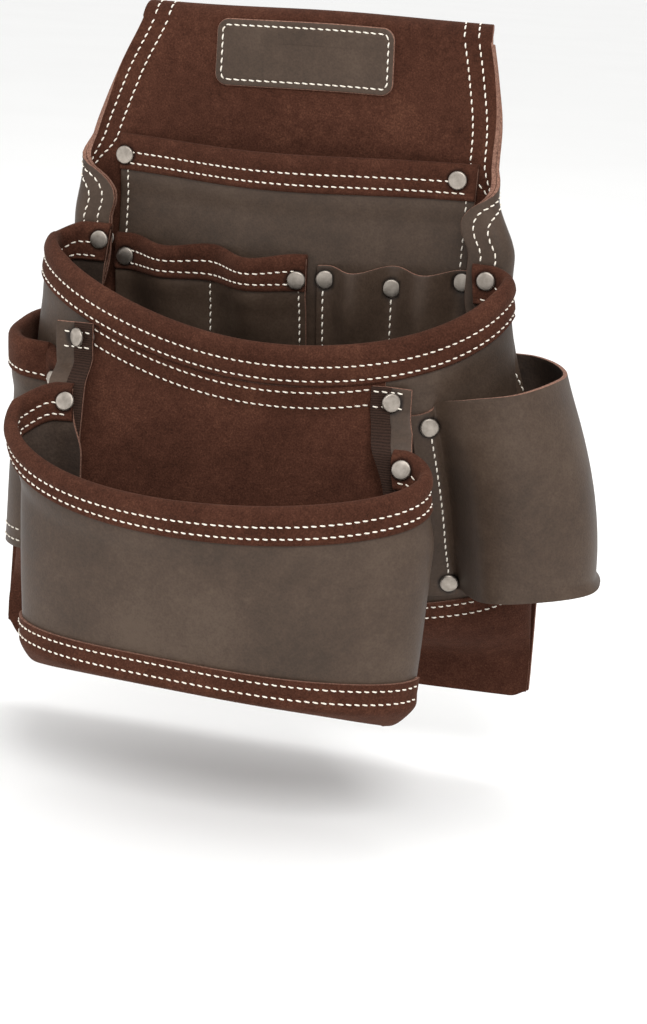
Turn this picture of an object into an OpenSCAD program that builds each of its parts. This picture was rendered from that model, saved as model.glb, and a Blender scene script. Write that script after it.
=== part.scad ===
// Leather nail and tool pouch that hangs on a waist belt.
// Right is +X, the front faces -Y and up is +Z. The origin is the middle of the belt slot.

/* [Leather] */
// Thickness of the suede back panel
panel_t = 2.5; // [1.6:0.1:4]
// Thickness of the smooth liner behind the panel
liner_t = 2; // [1.2:0.1:3]
// Thickness of the smooth leather that the pockets are made of
sheet_t = 2; // [1.4:0.1:3]
// Thickness of the suede that binds the rims
band_t = 1.6; // [1:0.1:2.4]
// Thickness of the woven tape
tape_t = 0.9; // [0.5:0.1:1.6]
// Thickness of the blank badge patch
badge_t = 1.5; // [0.8:0.1:3]

/* [Back panel] */
// Half of the width at the top
top_half = 87.5; // [75:0.5:95]
// How far its sides bulge between the top and the shoulder
side_bulge = 2.2; // [0:0.1:4]
// Half of the width at the shoulder, where the ears start
shoulder_half = 104; // [98:1:112]
// Half of the flat width where the ears are full
ear_half = 137; // [130:1:142]
// Half of the width at the foot
foot_half = 141; // [134:1:155]
// Height of the front of the top fold's bend above the slot's middle
bend_z = 44.5; // [42:0.5:60]
// Drop of the shoulder below the slot's middle
shoulder_drop = 22; // [18:1:30]
// Drop at which the ears are full
ear_drop = 41; // [38:1:50]
// Drop of the foot at its middle
foot_drop = 279; // [270:1:300]
// How much lower the foot is at its left corner than in the middle
foot_lean = 4; // [0:0.5:8]
// How far the hung panel leans to the right at its top
top_lean = 5; // [0:0.5:8]
// How far its shoulders lean to the left
shoulder_lean = 4.5; // [0:0.5:6]
// How far its foot swings to the left
foot_shift = 4; // [0:0.5:6]
// Radius of the ears' fold, inside
ear_r = 4; // [3:0.5:6]
// Half of the width across the ears' folds
fold_half = 112.5; // [108:0.5:116]
// How far the folds start further in at the shoulders
ear_tuck = 6.5; // [0:0.5:8]

/* [Belt tunnel] */
// Width of the belt that fits the slot
belt_w = 76.2; // [50:0.1:80]
// Room for the belt, front to back
belt_gap = 8; // [5:0.5:12]
// Height of the flat part that is sewn to the liner
tunnel_hem = 12; // [10:1:18]

/* [Badge] */
// Width of the badge patch
badge_w = 89; // [60:1:110]
// Height of the badge patch
badge_h = 32; // [20:1:34]
// Corner radius of the badge patch
badge_r = 6; // [2:0.5:10]

/* [Upper pocket] */
// Half of the width of the upper pocket
upper_half = 90; // [88:0.5:94]
// Drop of its rim below the slot's middle
upper_drop = 17; // [14:1:20]
// Depth of the pocket below its rim
upper_deep = 150; // [120:1:170]
// How far its middle stands off the panel
upper_bulge = 17; // [8:0.5:22]
// Height of its suede band
upper_band = 15.5; // [12:0.5:20]

/* [Twin pocket] */
// Right seam of the twin pocket
twin_right = 10; // [6:0.5:12]
// Divider seam between its halves
twin_divider = -36; // [-44:0.5:-28]
// Drop of its rim
twin_drop = 64; // [60:1:70]
// Depth of the twin pocket
twin_deep = 84; // [60:1:96]
// How far each half stands off
twin_bulge = 12; // [6:0.5:16]

/* [Tool slots] */
// Left seam of the tool slots
slots_left = 23; // [21:0.5:28]
// Seam between the two slots
slots_divider = 54; // [48:0.5:62]
// How far each slot stands off
slots_bulge = 12; // [6:0.5:16]

/* [Main pocket] */
// How far its rim stands out beyond the ears' folds at each side
main_proud = 4.5; // [3:0.5:8]
// Drop of the rim at its ends
main_drop = 64.5; // [62:0.5:70]
// How much lower the rim's front is than its ends
main_dip = 33; // [10:1:36]
// How much lower the rim hangs right of its middle than left of it, each way
main_swing = 5; // [0:0.5:6]
// How far the rim's front stands off the slot's middle
main_front = 90; // [70:1:100]
// Height of its suede band
main_band = 16; // [14:0.5:20]
// How much higher the sheet's lower edge is at its ends
main_sweep = 31; // [10:1:36]
// Thickness of the roll on top of the band
roll_t = 2.6; // [1.6:0.1:3.4]
// Height of the hem between the sheet's lowest edge and the panel's foot
main_hem = 34; // [26:1:44]

/* [Front pocket] */
// Half of the width across its rim, outside
front_half = 103; // [98:0.5:108]
// How far the rim's front stands off the slot's middle
front_front = 160; // [140:1:170]
// Drop of the rim at its ends
front_drop = 138; // [134:0.5:142]
// How much lower the rim's front is than its ends
front_dip = 21; // [10:1:24]
// How much lower its right end is than its left one, each way
front_cant = 8.5; // [0:0.5:10]
// Height of its suede band
front_band = 14; // [12:0.5:18]
// How far above the panel's foot the smooth sheet ends
front_lift = 32; // [26:1:40]
// How much lower its rim hangs on the left, in each 100 mm
rim_lean = 3.4; // [0:0.2:4]
// How much lower its foot hangs on the right, in each 100 mm
foot_tilt = 3.2; // [0:0.2:4]
// How far it swings to the right below its rim
front_shift = 5.8; // [0:0.2:7]

/* [Side pocket and hammer holder] */
// How far the side pocket's rim stands out beyond the main pocket
side_out = 7; // [4:0.5:12]
// Height of its suede band
side_band = 17; // [13:0.5:20]
// How far the hammer holder reaches beyond the panel's edge at its top
holder_top = 35; // [30:0.5:42]
// How far it reaches beyond the panel's edge at its foot
holder_low = 39; // [32:0.5:46]

/* [Rivets] */
// Diameter of a rivet cap
cap_d = 9; // [7:0.1:10]
// Diameter of a rivet post and of its hole
post_d = 3.2; // [2.4:0.1:4]

/* [Hidden] */
suede = [0.33, 0.23, 0.19];
smooth = [0.345, 0.298, 0.259];
tape = [0.19, 0.14, 0.15];
metal = [0.67, 0.63, 0.6];

// ---- small helpers ----
function mix(a, b, t) = a + (b - a) * t;
function clamp(t) = min(1, max(0, t));
function ease(t) = let (c = clamp(t)) c * c * (3 - 2 * c);
function unit(v) = v / norm(v);
function steps(a, b, n) = [for (k = [0 : n]) mix(a, b, k / n)];

// Smooth curve through a list of points, t from 0 to the last index.
function through(p, t) =
    let (n = len(p) - 1, k = min(n - 1, floor(t)), f = t - k,
         a = p[max(0, k - 1)], b = p[k], c = p[k + 1], d = p[min(n, k + 2)])
    0.5 * (2 * b + (c - a) * f + (2 * a - 5 * b + 4 * c - d) * f * f
        + (3 * b - a - 3 * c + d) * f * f * f);

// Closed leather skin between two grids. Rows run upward and points run to the right,
// as seen from the side that the second grid faces.
module skin(near, far) {
    rows = len(near);
    cols = len(near[0]);
    n = rows * cols;
    function at(i, j) = i * cols + j;
    points = concat([for (row = near) each row], [for (row = far) each row]);
    faces = concat(
        [for (i = [0 : rows - 2], j = [0 : cols - 2]) each [
            [n + at(i, j), n + at(i + 1, j + 1), n + at(i, j + 1)],
            [n + at(i, j), n + at(i + 1, j), n + at(i + 1, j + 1)],
            [at(i, j), at(i, j + 1), at(i + 1, j + 1)],
            [at(i, j), at(i + 1, j + 1), at(i + 1, j)]]],
        [for (j = [0 : cols - 2]) each [
            [at(0, j), n + at(0, j), n + at(0, j + 1)],
            [at(0, j), n + at(0, j + 1), at(0, j + 1)],
            [at(rows - 1, j), at(rows - 1, j + 1), n + at(rows - 1, j + 1)],
            [at(rows - 1, j), n + at(rows - 1, j + 1), n + at(rows - 1, j)]]],
        [for (i = [0 : rows - 2]) each [
            [at(i, 0), at(i + 1, 0), n + at(i + 1, 0)],
            [at(i, 0), n + at(i + 1, 0), n + at(i, 0)],
            [at(i, cols - 1), n + at(i + 1, cols - 1), at(i + 1, cols - 1)],
            [at(i, cols - 1), n + at(i, cols - 1), n + at(i + 1, cols - 1)]]]);
    polyhedron(points, faces);
}

// ---- back panel, liner and belt tunnel ----
liner_back = -belt_gap / 2;
seam_y = liner_back - liner_t;
panel_y = seam_y - panel_t;
slot_low = bend_z - belt_w - 4;
tunnel_turn = 12;
ear_full = -120;
ear_flat = -186;
ear_end = -212;
ear_thin = panel_t + liner_t;
// Where the folds stop being tucked in, and where they start to run out to the foot.
tuck_top = -28;
tuck_h = 28;
spread_top = -70;
spread_h = 120;
// Heights over which the panel's leans come in, and how far the fold stays inside a narrow edge.
top_ease = 46;
shoulder_ease = 36;
swing_top = -150;
swing_h = 80;
fold_in = [6, 2];

// The hung panel leans to the left at its shoulders and foot and to the right at its top.
lean_from = 5;
function lean_x(z) = top_lean * ease((z - lean_from) / top_ease)
    - shoulder_lean * (1 - ease(abs(z + shoulder_drop) / shoulder_ease))
    - foot_shift * ease((swing_top - z) / swing_h);

// Half of the flat width at a height.
function flat_half(z) =
    z > -shoulder_drop ? let (t = (z + shoulder_drop) / (bend_z + shoulder_drop))
        mix(shoulder_half, top_half, t) + side_bulge * sin(180 * min(1, t))
    : z > -ear_drop ? mix(ear_half, shoulder_half, (z + ear_drop) / (ear_drop - shoulder_drop))
    : mix(foot_half, ear_half, clamp((z + foot_drop) / (foot_drop - ear_drop)));

// How far the ear's fold is pressed flat, its radius, the height at which it fades, and where it starts.
function pressed(z) = ease((ear_full - z) / (ear_full - ear_flat));
function fold_r(z) = mix(ear_r + panel_t, panel_t + 0.3, pressed(z));
function fold_turn(z) = 180 * (1 - ease((ear_flat - z) / (ear_flat - ear_end)));
fold_ease = [-10, 40];
fold_foot_in = 11;
function fold_x(z) = min(flat_half(z) - mix(fold_in[0], fold_in[1], ease((z - fold_ease[0]) / fold_ease[1])),
    mix(fold_half - ear_r - ear_thin, foot_half - fold_foot_in, ease((spread_top - z) / spread_h))
        - ear_tuck * (1 - ease((tuck_top - z) / tuck_h)));
// How far the ear's front face stands in front of the panel's own face.
function ear_stand(z) = (2 * fold_r(z) + liner_t - panel_t) * fold_turn(z) / 180;

// Point of the panel at flat distance s from the middle, o in front of the seam between its layers.
function ear_at(s, z, o) =
    let (b = fold_x(z), r = fold_r(z), turn = fold_turn(z), arc = r * turn * PI / 180,
         f = min(s - b, arc) / r * 180 / PI, l = s - b - arc)
    s <= b ? [s, seam_y - o, z]
    : s <= b + arc ? [b + (r - o) * sin(f), seam_y - r + (r - o) * cos(f), z]
    : [b + (r - o) * sin(turn) + l * cos(turn), seam_y - r + (r - o) * cos(turn) - l * sin(turn), z];

function half_row(z, o) =
    let (w = flat_half(z), b = fold_x(z), arc = min(fold_r(z) * fold_turn(z) * PI / 180, 0.8 * (w - b)),
         roll = max(arc, 0.6 * (w - b) * (1 - fold_turn(z) / 180)))
    [for (s = concat([for (k = [1 : 4]) b * k / 4], [for (k = [1 : 4]) b + roll * k / 4], [w]))
        let (p = ear_at(s, z, o)) [p[0], p[1], z + foot_lean * p[0] / foot_half * ease((-200 - z) / 70)]];
// Mirrors a row, with the foot's lean turned over on the left.
function panel_row(z, o) =
    let (h = half_row(z, o), l = [for (p = h) [-p[0], p[1], 2 * z - p[2]]])
    [for (p = concat([for (k = [len(l) - 1 : -1 : 0]) l[k]], [[0, seam_y - o, z]], h))
        [p[0] + lean_x(z), p[1], p[2]]];

front_z = concat([-foot_drop, -262, -244, -228], [-212, -206, -199, -192, -186, -170, -150, -130],
    [-110, -90, -66, -ear_drop, -38, -30, -shoulder_drop, -10, 8, 26, bend_z - 1.5]);
bend_c = (seam_y + belt_gap / 2) / 2;
bend_in = (belt_gap / 2 - seam_y) / 2;
flap_z = [bend_z, 12, slot_low + 4, slot_low, slot_low - 3, slot_low - 6, slot_low - 9,
    slot_low - tunnel_turn, slot_low - tunnel_turn - tunnel_hem];
function flap_y(z) = mix(belt_gap / 2, liner_back, ease((slot_low - z) / tunnel_turn));
function flap_half(z) = flat_half(bend_z) - 3 - (bend_z - z) * 0.02;
// The flat rows keep the spacing of the panel's own rows near the bend.
function like_row(half, y, z) = let (b = bend_z - 1.5)
    [for (p = panel_row(b, 0)) [(p[0] - lean_x(b)) * half / flat_half(b) + lean_x(z), y, z]];

function panel_grid(o) = concat(
    [for (z = front_z) panel_row(z, o)],
    [for (f = [30 : 30 : 150]) like_row(mix(flat_half(bend_z), flap_half(bend_z), f / 180),
        bend_c - (bend_in + o) * cos(f), bend_z + (bend_in + o) * sin(f))],
    [for (z = flap_z) like_row(flap_half(z), flap_y(z) + o, z)]);

module back_panel() {
    color(suede) difference() {
        skin(panel_grid(0), panel_grid(panel_t));
        rivet_holes(panel_rivets);
    }
}

module back_liner() {
    color(smooth) difference() {
        skin([for (z = front_z) panel_row(z, -liner_t)], [for (z = front_z) panel_row(z, 0)]);
        rivet_holes(panel_rivets);
    }
}

badge_x = 0.5;
badge_z = bend_z + 1.7 - badge_h / 2;
module badge_patch() {
    color(smooth) translate([badge_x, panel_y, badge_z]) rotate([90, 0, 0]) linear_extrude(badge_t) {
        square([badge_w, badge_h - 2 * badge_r], center = true);
        square([badge_w - 2 * badge_r, badge_h], center = true);
        for (i = [-1, 1], j = [-1, 1])
            translate([i * (badge_w / 2 - badge_r), j * (badge_h / 2 - badge_r)]) circle(badge_r, $fn = 48);
    }
}

// Half of the panel's width at a height, over the folded ears.
function edge_x(z) = max([for (p = half_row(z, panel_t)) p[0]]);

// ---- pockets: point(u, h, e) is at u across, h below the rim and e outside the sheet's inner face ----
rim_past = 14;
rim_fade = 12;
function rim_room(h, band) = band_t * ease((band + rim_past - h) / rim_fade);

// Grid of a sheet at offset e, for a pocket of depth deep(u) under a band.
function sheet_grid(point, us, deep, band, n, e) =
    [for (k = concat([for (i = [n : -1 : 0]) i / n], [-1, -2]))
        [for (u = us) point(u, k >= 0 ? mix(band, deep(u), k) : band * (k + 2) / 2, e)]];

// Band folded over the rim: up its outer face, over the top and down its inner face.
function band_rows(point, us, path) = [for (q = path) [for (u = us) point(u, q[0], q[1])]];
function band_touch(band) = [[band, sheet_t], [band / 2, sheet_t], [0, sheet_t], [0, sheet_t / 2], [0, 0],
    [band / 2, 0], [band, 0]];
function band_free(band, top) = [[band, sheet_t + band_t], [band / 2, sheet_t + band_t],
    [-0.6 * top, sheet_t + 0.8 * band_t], [-top, sheet_t / 2], [-0.6 * top, -0.8 * band_t],
    [band / 2, -band_t], [band, -band_t]];

module pocket_sheet(point, us, deep, band, n, rivets) {
    color(smooth) difference() {
        skin(sheet_grid(point, us, deep, band, n, 0), sheet_grid(point, us, deep, band, n, sheet_t));
        rivet_holes(rivets);
    }
}

module pocket_band(point, us, band, top, rivets) {
    color(suede) difference() {
        skin(band_rows(point, us, band_touch(band)), band_rows(point, us, band_free(band, top)));
        rivet_holes(rivets);
    }
}

// Upper pocket, on the panel.
upper_seam = upper_half - 6;
upper_foot = upper_drop + upper_deep - 8;
upper_swell = 95;
rim_curl = 2;
function upper_off(x, z) = abs(x) >= upper_seam ? 0
    : upper_bulge * pow(cos(90 * x / upper_seam), 2) * ease((z + upper_foot) / upper_swell);
upper_at = function (u, h, e) let (x = u * upper_half, z = -upper_drop + rim_curl * u * u - h)
    [x, panel_y - rim_room(h, upper_band) - upper_off(x, z) - e, z];
upper_us = steps(-1, 1, 16);

module upper_pocket()
    pocket_sheet(upper_at, upper_us, function (u) upper_deep, upper_band, 5,
        concat(upper_rivets, twin_rivets, slot_rivets));
module upper_pocket_band() pocket_band(upper_at, upper_us, upper_band, band_t, upper_rivets);

// Outer face of the upper pocket's sheet.
function upper_face(x, z) = panel_y - sheet_t - upper_off(x, z)
    - rim_room(-upper_drop + rim_curl * pow(x / upper_half, 2) - z, upper_band);

// Twin pocket, on the upper pocket.
twin_left = -upper_seam;
twin_band = 16;
cell_swell = 60;
cell_hem = 6;
function arch(x, a, b) = x <= a || x >= b ? 0 : pow(sin(180 * (x - a) / (b - a)), 2);
function twin_off(x, z) = twin_bulge * (arch(x, twin_left, twin_divider) + arch(x, twin_divider, twin_right))
    * ease((z + twin_drop + twin_deep - cell_hem) / cell_swell);
twin_at = function (u, h, e) let (x = mix(-upper_half + 0.5, twin_right + 4, u), z = -twin_drop - h)
    [x, upper_face(x, z) - rim_room(h, twin_band) - twin_off(x, z) - e, z];
twin_us = steps(0, 1, 18);

module twin_pocket() pocket_sheet(twin_at, twin_us, function (u) twin_deep, twin_band, 4, twin_rivets);
module twin_pocket_band() pocket_band(twin_at, twin_us, twin_band, band_t, twin_rivets);

// Tool slots, on the upper pocket. Their top edge is raw.
slots_edge = 4;
slots_right = upper_seam + slots_edge;
slots_drop = twin_drop + 3;
slots_deep = twin_deep - 2;
slots_rise = 3;
function slots_off(x, z) = slots_bulge
    * (arch(x, slots_left, slots_divider) + arch(x, slots_divider, slots_right))
    * ease((z + slots_drop + slots_deep - cell_hem) / cell_swell);
slots_at = function (u, h, e)
    let (x = mix(slots_left - slots_edge, slots_right + slots_edge, u), z = -slots_drop + slots_rise * u - h)
    [x, upper_face(x, z) - slots_off(x, z) - e, z];
slots_us = steps(0, 1, 16);

module tool_slots() pocket_sheet(slots_at, slots_us, function (u) slots_deep, twin_band, 4, slot_rivets);

// ---- bags: a plan curve with a front ellipse, round back corners and ends turned inward ----
front_u = 0.78;
corner_u = 0.92;
// u from -1 to 1; a is the half width, r the corner radius, tab the turned end, all at the inner face.
function bag_plan(u, a, back_y, deep, r, tab, e) =
    let (s = sign(u), v = abs(u), cy = back_y - r,
         f = 90 * v / front_u, g = 90 * (v - front_u) / (corner_u - front_u),
         l = tab * (v - corner_u) / (1 - corner_u))
    v <= front_u ? [s * (a + e) * sin(f), cy - (deep + e) * cos(f)]
    : v <= corner_u ? [s * (a - r + (r + e) * cos(g)), cy + (r + e) * sin(g)]
    : [s * (a - r - l), back_y + e];
bag_us = let (h = concat(steps(front_u / 8, front_u, 7), [0.827, 0.873, corner_u], [1]))
    concat([for (k = [len(h) - 1 : -1 : 0]) -h[k]], [0], h);
// Cosine of a bag's front angle, 1 in the middle and 0 at the sides, and the rise of its turned ends.
function fore(u) = cos(min(90, 90 * abs(u) / front_u));
function tab_rise(u, rise) = rise * ease((abs(u) - front_u) / 0.16);

// Main pocket.
main_r = 8;
main_tab = [15.5, 10];
main_rise = [5, 3.3];
main_round = 1.6;
main_foot = foot_drop - main_hem;
main_out = fold_half + main_proud - sheet_t - band_t;
main_inset = 5.8;
main_flare = (foot_half - main_inset - main_out) / (main_foot - main_drop);
main_shallow = 16;
function main_rim(u) = -main_drop - main_dip * pow(fore(u), main_round)
    - main_swing * sign(u) * sin(180 * min(1, abs(u) / front_u)) + tab_rise(u, main_rise[u < 0 ? 0 : 1]);
function main_low(u) = -main_foot + main_sweep * (1 - fore(u));
function main_a(z) = main_out + main_flare * (-main_drop - z);
function main_back(z, h) = panel_y - ear_stand(z) - rim_room(h, main_band) - sheet_t;
function main_d(z) = let (t = clamp((-main_drop - z) / (main_foot - main_drop)))
    mix(main_front + main_back(-main_drop - main_dip, 0) - main_r - sheet_t - band_t,
        main_shallow, pow(t, 3.2));
function main_xy(u, z, h, e) =
    bag_plan(u, main_a(z), main_back(z, h), main_d(z), main_r, main_tab[u < 0 ? 0 : 1], e);
main_at = function (u, h, e) let (z = main_rim(u) - h, p = main_xy(u, z, h, e)) [p[0], p[1], z];

module main_pocket()
    pocket_sheet(main_at, bag_us, function (u) main_rim(u) - main_low(u), main_band, 7,
        concat(main_rivets, top_rivets, side_rivets, holder_rivets));
module main_pocket_band() pocket_band(main_at, bag_us, main_band, roll_t, main_rivets);

// Front of the main pocket's outer face at x and z.
function main_u(x, z, e) = sign(x) * front_u * asin(min(1, abs(x) / (main_a(z) + e))) / 90;
function main_face(x, z, e) = main_xy(main_u(x, z, e), z, 100, e)[1];

// Suede hem: sewn over the sheet's foot, then down and back to the panel's foot.
hem_lap = 14;
hem_fall = [0, 0.35, 0.7, 1, 1];
foot_room = 18;
hem_us = [for (u = bag_us) if (abs(u) <= front_u + 0.001) u];
function hem_row(u, k, e) =
    let (lap = main_at(u, main_rim(u) - main_low(u) - max(0, k) * hem_lap / 2, sheet_t + e),
         f = hem_fall[max(0, -k)], s = sin(90 * u / front_u),
         z = mix(main_low(u), foot_room - foot_drop, f), foot_x = mix(lap[0], s * (foot_half - 1) - foot_shift, f))
    k >= 0 ? lap
    : k == -4 ? [s * (foot_half - 1) - foot_shift, panel_y - e, -foot_drop + foot_lean * s]
    : [foot_x, mix(lap[1], panel_y - e, ease(f)), z];
function hem_grid(e) = [for (k = [-4 : 2]) [for (u = hem_us) hem_row(u, k, e)]];

module main_pocket_hem() {
    color(suede) skin(hem_grid(0), hem_grid(band_t));
}

// ---- front pocket ----
front_r = 11;
front_tab = [10.6, 6.7];
front_out = front_half - sheet_t - band_t;
front_foot = foot_drop - front_lift;
front_taper = 6;
front_waist = 1.5;
front_shallow = 34;
bottom_y = -102;
back_half = 74;
back_top = main_band + 0.6;
back_sewn = main_band + 13;
// Front face of the suede back of the front pocket, h below the main rim.
function lean(x, z) =
    x / 100 * mix(rim_lean, -foot_tilt, clamp((-front_drop - z) / (front_foot - front_drop)));
hang_h = 112;
function hang(h) = 1 - pow(1 - clamp((h - back_sewn) / hang_h), 2.4);
function main_h(x, z) = main_rim(main_u(x, z, 0)) - z;
function back_face(x, z) = let (h = main_h(x, z), zs = max(z, main_rim(main_u(x, z, 0)) - back_sewn))
    mix(main_face(x, zs, sheet_t), bottom_y + sheet_t, hang(h));
back_shift = 5;
back_flare = 6;
back_hem = 6;
back_turn = 30;
back_at = function (u, h, e)
    let (x = mix(u * back_half - back_shift, u * (back_half + back_flare), ease((h - back_sewn) / back_turn)),
        z = main_rim(main_u(x, -90, 0)) - h)
    [x, back_face(x, z) - e, z];
back_us = steps(-1, 1, 14);
function back_depth(u) = main_rim(main_u(u * back_half, -90, 0)) + front_foot + back_hem
    - lean(u * (back_half + back_flare), -front_foot);
function back_grid(e) = [for (k = [1, 0.75, 0.5, 0.3, 0.16, 0.07, 0, -0.5, -1])
    [for (u = back_us) back_at(u, mix(back_sewn, k > 0 ? back_depth(u) : back_top, abs(k)), e)]];

module front_pocket_back() {
    color(suede) skin(back_grid(0), back_grid(sheet_t));
}

// Gusset straps: sewn on the main pocket, then forward and down to carry the front pocket's rim.
gusset_w = 18.5;
tape_w = 9;
gusset_drop = [104, 118.5];
gusset_in = [75, 63.5];
gusset_carry = [73.5, 77.5];
gusset_spread = [2, 40];
function gusset_x(z, side) = mix(gusset_in[side], gusset_carry[side],
    ease((-gusset_drop[side] - gusset_spread[0] - z) / gusset_spread[1]));
gusset_foot = 19 - front_foot;
tape_foot = gusset_foot + 8;
carry_z = -108;
carry_h = 115;
carry_front = main_front - 12;
function carry_y(z) = mix(-carry_front, bottom_y, 1 - pow(1 - clamp((carry_z - z) / carry_h), 4));
function gusset_y(x, z, side) =
    let (d = gusset_drop[side] + 5)
    min(back_face(min(x, back_half - 4), z) - sheet_t,
        mix(main_face(x, max(z, -d), sheet_t) - sheet_t, carry_y(z), ease((-d - z) / 16)));
// Strap grid for one side: x0 and x1 are distances from the strap's inner edge.
function gusset_grid(side, x1, low, e) = let (bend = -gusset_drop[side] - 21)
    [for (z = concat(low, steps(tape_foot, bend, 5), [for (k = [1 : 7]) bend + 4 * k]))
        [for (x = steps(0, x1, 4)) let (gx = gusset_x(z, side) + x)
            [gx, gusset_y(gx, z, side) - e, z]]];

module gusset(side) {
    color(smooth) difference() {
        skin(gusset_grid(side, gusset_w, [gusset_foot], 0),
            gusset_grid(side, gusset_w, [gusset_foot], sheet_t));
        rivet_holes([for (r = concat(top_rivets, low_rivets)) if (r[0][0] > 0 == (side == 1)) flip(r, side)]);
    }
}

module gusset_strap_tape(side) {
    color(tape) difference() {
        skin(gusset_grid(side, tape_w, [], sheet_t),
            gusset_grid(side, tape_w, [], sheet_t + tape_t));
        rivet_holes([flip(top_rivets[side], side)]);
    }
}

module front_gusset_left() mirror([1, 0, 0]) gusset(0);
module front_gusset_right() gusset(1);
module gusset_tape_left() mirror([1, 0, 0]) gusset_strap_tape(0);
module gusset_tape_right() gusset_strap_tape(1);

front_rise = 6;
front_swing = 1.5;
front_sway_h = 32;
function front_rim(u) = -front_drop - front_dip * fore(u) - front_cant * sign(u) * (1 - fore(u))
    + tab_rise(u, front_rise);
function front_low(u) = -front_foot;
function front_a(z) = let (t = clamp((-front_drop - z) / (front_foot - front_drop)))
    front_out - front_taper * t * t - front_waist * sin(180 * t);
function front_back(z, h) = carry_y(z) - 2 * sheet_t - rim_room(h, front_band);
function front_d(z) = let (t = clamp((-front_drop - z) / (front_foot - front_drop)))
    mix(front_front + front_back(-front_drop - front_dip, 0) - front_r - sheet_t - band_t,
        front_shallow, t * t);
front_at = function (u, h, e) let (z = front_rim(u) - h,
        p = bag_plan(u, front_a(z), front_back(z, h), front_d(z), front_r, front_tab[u < 0 ? 0 : 1], e))
    [p[0] + mix(-front_swing, front_shift, ease(h / front_sway_h)), p[1], z + lean(p[0], z)];

module front_pocket()
    pocket_sheet(front_at, bag_us, function (u) front_rim(u) - front_low(u), front_band, 6, low_rivets);
module front_pocket_band() pocket_band(front_at, bag_us, front_band, band_t, low_rivets);

// Suede strip over the sheet's foot, then back and down to the foot of the pocket's back.
strip_lap = 14;
strip_half = 86;
strip_low = [9, 8];
function strip_row(u, k, e) =
    let (lap = front_at(u, front_rim(u) - front_low(u) - max(0, k) * strip_lap / 2, sheet_t + e),
         s = sin(90 * u / front_u), x = s * strip_half,
         foot = [x, bottom_y - e, lean(x, -front_foot) - front_foot - strip_low[0] - strip_low[1] * s * s])
    k >= 0 ? lap : k == -2 ? foot
    : [mix(lap[0], foot[0], 0.5), mix(lap[1], foot[1], 0.4), mix(lap[2], foot[2], 0.65)];
function strip_grid(e) = [for (k = [-2 : 2]) [for (u = hem_us) strip_row(u, k, e)]];

module front_pocket_hem() {
    color(suede) skin(strip_grid(0), strip_grid(band_t));
}

// ---- side pocket and hammer holder: strips whose plan runs through a few points ----
// The first three points lie on the main pocket's outer face at the given x.
function on_main(x, z) = [x, main_face(x, z, sheet_t)];
function strip_plan(p, t, e) =
    let (n = len(p) - 1, q = through(p, t),
         g = unit(through(p, min(n, t + 0.05)) - through(p, max(0, t - 0.05))))
    [q[0] + g[1] * e, q[1] - g[0] * e];

// The side pocket is drawn on the right and mirrored to the left.
side_rim = -118;
side_rise = 14;
side_low = -222;
function side_plan(z) =
    let (t = clamp((-108 - z) / (-108 - side_low)), w = main_a(z) + mix(side_out, 2.6, t))
    [on_main(93, z), on_main(99, z), on_main(104, z), [mix(115, 121, t), mix(-63, -48, t)],
        [w - 2, mix(-53, -39, t)], [w, mix(-37, -26, t)], [mix(w - 1, foot_half - 3, t), mix(-23, -15, t)],
        [mix(fold_half + 6, foot_half - 1.5, ease(t)), mix(-13, -9.5, t)]];
side_at = function (u, h, e) let (z = side_rim + side_rise * u - h,
        p = strip_plan(side_plan(z), 7 * u, e + rim_room(h, side_band))) [p[0], p[1], z];
side_us = steps(0, 1, 14);

module side_pocket() mirror([1, 0, 0])
    pocket_sheet(side_at, side_us, function (u) side_rim + side_rise * u - side_low, side_band, 5,
        [for (r = side_rivets) flip(r, 0)]);
module side_pocket_band() mirror([1, 0, 0])
    pocket_band(side_at, side_us, side_band, band_t, [for (r = side_rivets) flip(r, 0)]);

// Hammer holder: a strap from the main pocket's front, round the hammer and in behind the back panel.
function holder_plan(z) =
    let (t = (-110 - z) / 100, s = 84 + 24 * t - 10 * t * t,
         b = edge_x(z), w = b + mix(holder_top, holder_low, t) - sheet_t)
    [on_main(s - 7 - 4 * t, z), on_main(s, z), on_main(s + 6, z), [s + 24, mix(-78, -70, t)],
        [s + 47, mix(-80, -72, t)], [w - 3, mix(-64, -58, t)], [w, mix(-42, -40, t)],
        [w - 8, mix(-19, -17, t)], [b + 12, liner_back - 0.6],
        [b - 1, liner_back], [b - mix(21, 27, t), liner_back]];
function holder_rim(u) = -125 + 22 * ease(u / 0.55);
function holder_low_z(u) = -219 + 18 * ease(u / 0.6);
holder_at = function (u, h, e)
    let (z = holder_rim(u) - h, p = strip_plan(holder_plan(z), 10 * u, e)) [p[0], p[1], z];
holder_us = steps(0, 1, 30);

module hammer_holder() pocket_sheet(holder_at, holder_us, function (u) holder_rim(u) - holder_low_z(u), 16, 4,
    concat(holder_rivets, rear_rivets));

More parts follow.
